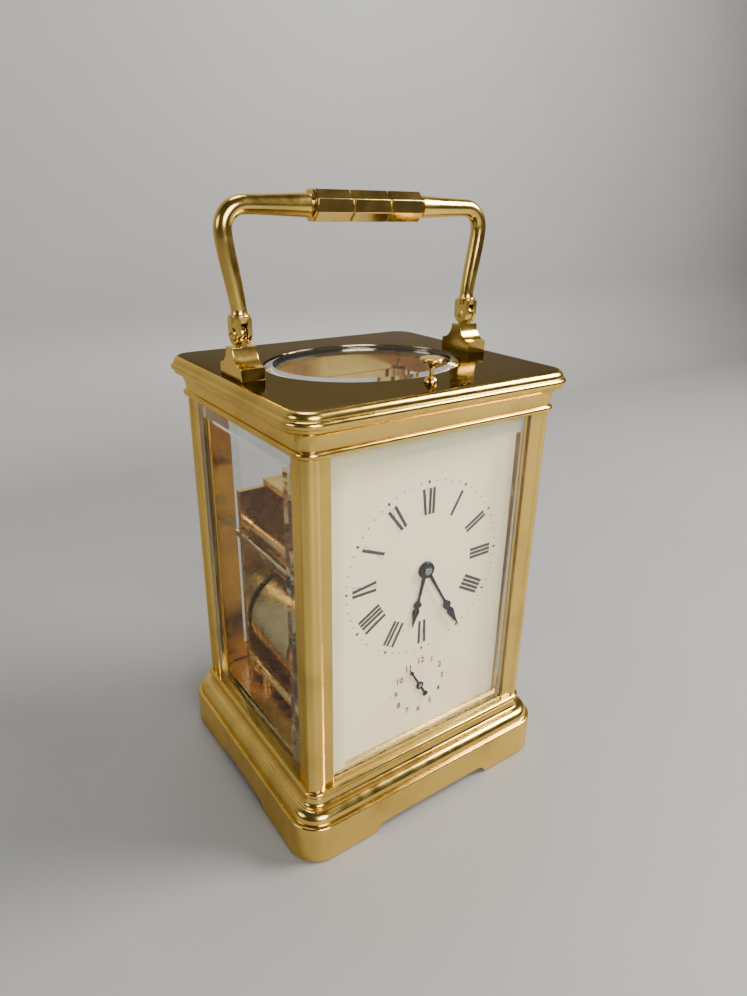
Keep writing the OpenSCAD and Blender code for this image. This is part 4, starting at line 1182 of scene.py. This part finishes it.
class CLOCK_OT_strike(bpy.types.Operator):
    """Strike wheel, fly, hammer and coiled gong"""

    bl_idname = "clock.strike"
    bl_label = "Strike work"

    def execute(self, context):
        worked("strike_wheel", "wheel_brass", 0, 34)
        worked("fly", "wheel_brass", 0)
        worked("hammer", "steel", 0.0002)
        coil = wire([(x, 29.0, z) for x, z in spiral((3.0, 60.0), 7.2, 17.6, 3.5, 40, math.pi)], 0.8, 12)
        foot = copy_of("gong")
        choose(foot, "VERT", lambda v: v.co.x / MM < 19.3 or (v.co.z / MM > 30.2 and v.co.x / MM < 20.35)
               or v.co.z / MM > 60.6)
        bpy.ops.mesh.delete(type="VERT")
        done()
        edit(foot, "EDGE")
        bpy.ops.mesh.fill_holes(sides=0)
        done()
        soften(foot, 0.0003)
        paint(foot, "plate_brass")
        obj = join([coil, foot])
        paint(obj, "spring_steel", "plate_brass")
        second_finish(obj, lambda f: self.on_foot(*(f.center / MM)))
        place(obj, "gong_coil", "gong")
        return {"FINISHED"}

    def on_foot(self, x, y, z):
        """Whether a place on the gong is on its brass foot."""
        return x > 19.3 and (x > 20.3 or z < 30.2) and z < 60.2 and (abs(x - 20.6) > 0.9 or z < 56)


# ---------- operator: stage ----------


class CLOCK_OT_stage(bpy.types.Operator):
    """Plain floor, soft lights and the camera"""

    bl_idname = "clock.stage"
    bl_label = "Stage"

    def execute(self, context):
        settings = context.scene.clock_stage
        clear()
        bpy.ops.mesh.primitive_plane_add(size=1)
        floor = bpy.context.object
        floor.scale = (3.2, 1.3, 1)
        floor.location = (0, -0.25, -0.0002)
        settle(floor)
        choose(floor, "EDGE", lambda e: all(floor.data.vertices[i].co.y > 0.1 for i in e.vertices))
        extrude(0, 0, 1300)
        done()
        choose(floor, "EDGE", lambda e: all(floor.data.vertices[i].co.y > 0.1
                                            and floor.data.vertices[i].co.z < 0.1 for i in e.vertices))
        bpy.ops.mesh.bevel(offset=0.10, segments=14)
        done()
        floor.name = "floor"
        floor.data.materials.append(floor_material(tuple(settings.floor)))
        smooth(floor, 40)
        world = bpy.data.worlds.new("surroundings")
        context.scene.world = world
        world.use_nodes = True
        back = world.node_tree.nodes["Background"]
        back.inputs["Color"].default_value = (1.0, 0.965, 0.92, 1)
        back.inputs["Strength"].default_value = settings.sky
        self.lamp("key_light", (0.62, -0.30, 0.62), (0, 0, 0.08), 0.42, settings.key, (1, 0.95, 0.88))
        self.lamp("front_light", (-0.10, -0.85, 0.50), (0, 0, 0.09), 0.55, settings.fill, (1, 0.97, 0.93))
        self.lamp("side_light", (-0.80, 0.05, 0.42), (0, 0, 0.08), 0.40, settings.fill * 0.15, (1, 0.96, 0.9))
        self.lamp("back_light", (0.05, 0.20, 0.95), (0, 0, 0.10), 0.40, settings.fill * 0.3, (1, 0.98, 0.95))
        self.camera(settings.lens)
        return {"FINISHED"}

    def lamp(self, name, at, to, size, power, colour):
        clear()
        bpy.ops.object.light_add(type="AREA", location=at)
        lamp = bpy.context.object
        lamp.name = name
        lamp.data.shape = "DISK"
        lamp.data.size = size
        lamp.data.energy = power
        lamp.data.color = colour
        aim = Vector(to) - Vector(at)
        lamp.rotation_euler = aim.to_track_quat("-Z", "Y").to_euler()

    def camera(self, lens):
        clear()
        bpy.ops.object.camera_add()
        camera = bpy.context.object
        camera.name = "view_camera"
        forward = Vector((0.53203, 0.75185, -0.38945)).normalized()
        up = Vector((0.21072, 0.32790, 0.92091))
        right = forward.cross(up).normalized()
        up = right.cross(forward)
        turn = Matrix((right, up, -forward)).transposed().to_4x4()
        camera.matrix_world = Matrix.Translation(Vector((-116.58, -170.95, 180.28)) * MM) @ turn
        camera.data.lens = lens
        camera.data.clip_start = 0.01
        camera.data.clip_end = 10
        bpy.context.scene.camera = camera


# ---------- panel and registration ----------


OPERATORS = [
    CLOCK_OT_stage, CLOCK_OT_base, CLOCK_OT_top, CLOCK_OT_pillars, CLOCK_OT_glasses, CLOCK_OT_door,
    CLOCK_OT_brackets, CLOCK_OT_handle, CLOCK_OT_button, CLOCK_OT_dial, CLOCK_OT_hands,
    CLOCK_OT_movement, CLOCK_OT_barrels, CLOCK_OT_wheels, CLOCK_OT_escapement, CLOCK_OT_strike,
]


class CLOCK_PT_panel(bpy.types.Panel):
    """Lists the clock's settings and steps"""

    bl_idname = "CLOCK_PT_panel"
    bl_label = "Carriage clock"
    bl_space_type = "VIEW_3D"
    bl_region_type = "UI"
    bl_category = "Clock"

    def draw(self, context):
        layout = self.layout
        for name in SETTINGS:
            group = getattr(context.scene, name)
            box = layout.box()
            for key in group.__annotations__:
                box.prop(group, key)
        for operator in OPERATORS:
            layout.operator(operator.bl_idname)


SETTINGS = {"clock_case": ClockCaseSettings, "clock_dial": ClockDialSettings,
            "clock_stage": ClockStageSettings}
CLASSES = [*SETTINGS.values(), *OPERATORS, CLOCK_PT_panel]


def register():
    for cls in CLASSES:
        bpy.utils.register_class(cls)
    for name, group in SETTINGS.items():
        setattr(bpy.types.Scene, name, PointerProperty(type=group))


def unregister():
    for name in SETTINGS:
        delattr(bpy.types.Scene, name)
    for cls in reversed(CLASSES):
        bpy.utils.unregister_class(cls)


def main():
    register()
    scene = bpy.context.scene
    MATS.update(build_materials(scene.clock_case, scene.clock_dial))
    check_spin()
    for operator in OPERATORS:
        name = operator.bl_idname.split(".")[1]
        if "FINISHED" not in getattr(bpy.ops.clock, name)():
            raise RuntimeError(operator.bl_idname + " did not finish")
    clear()


if __name__ == "__main__":
    main()
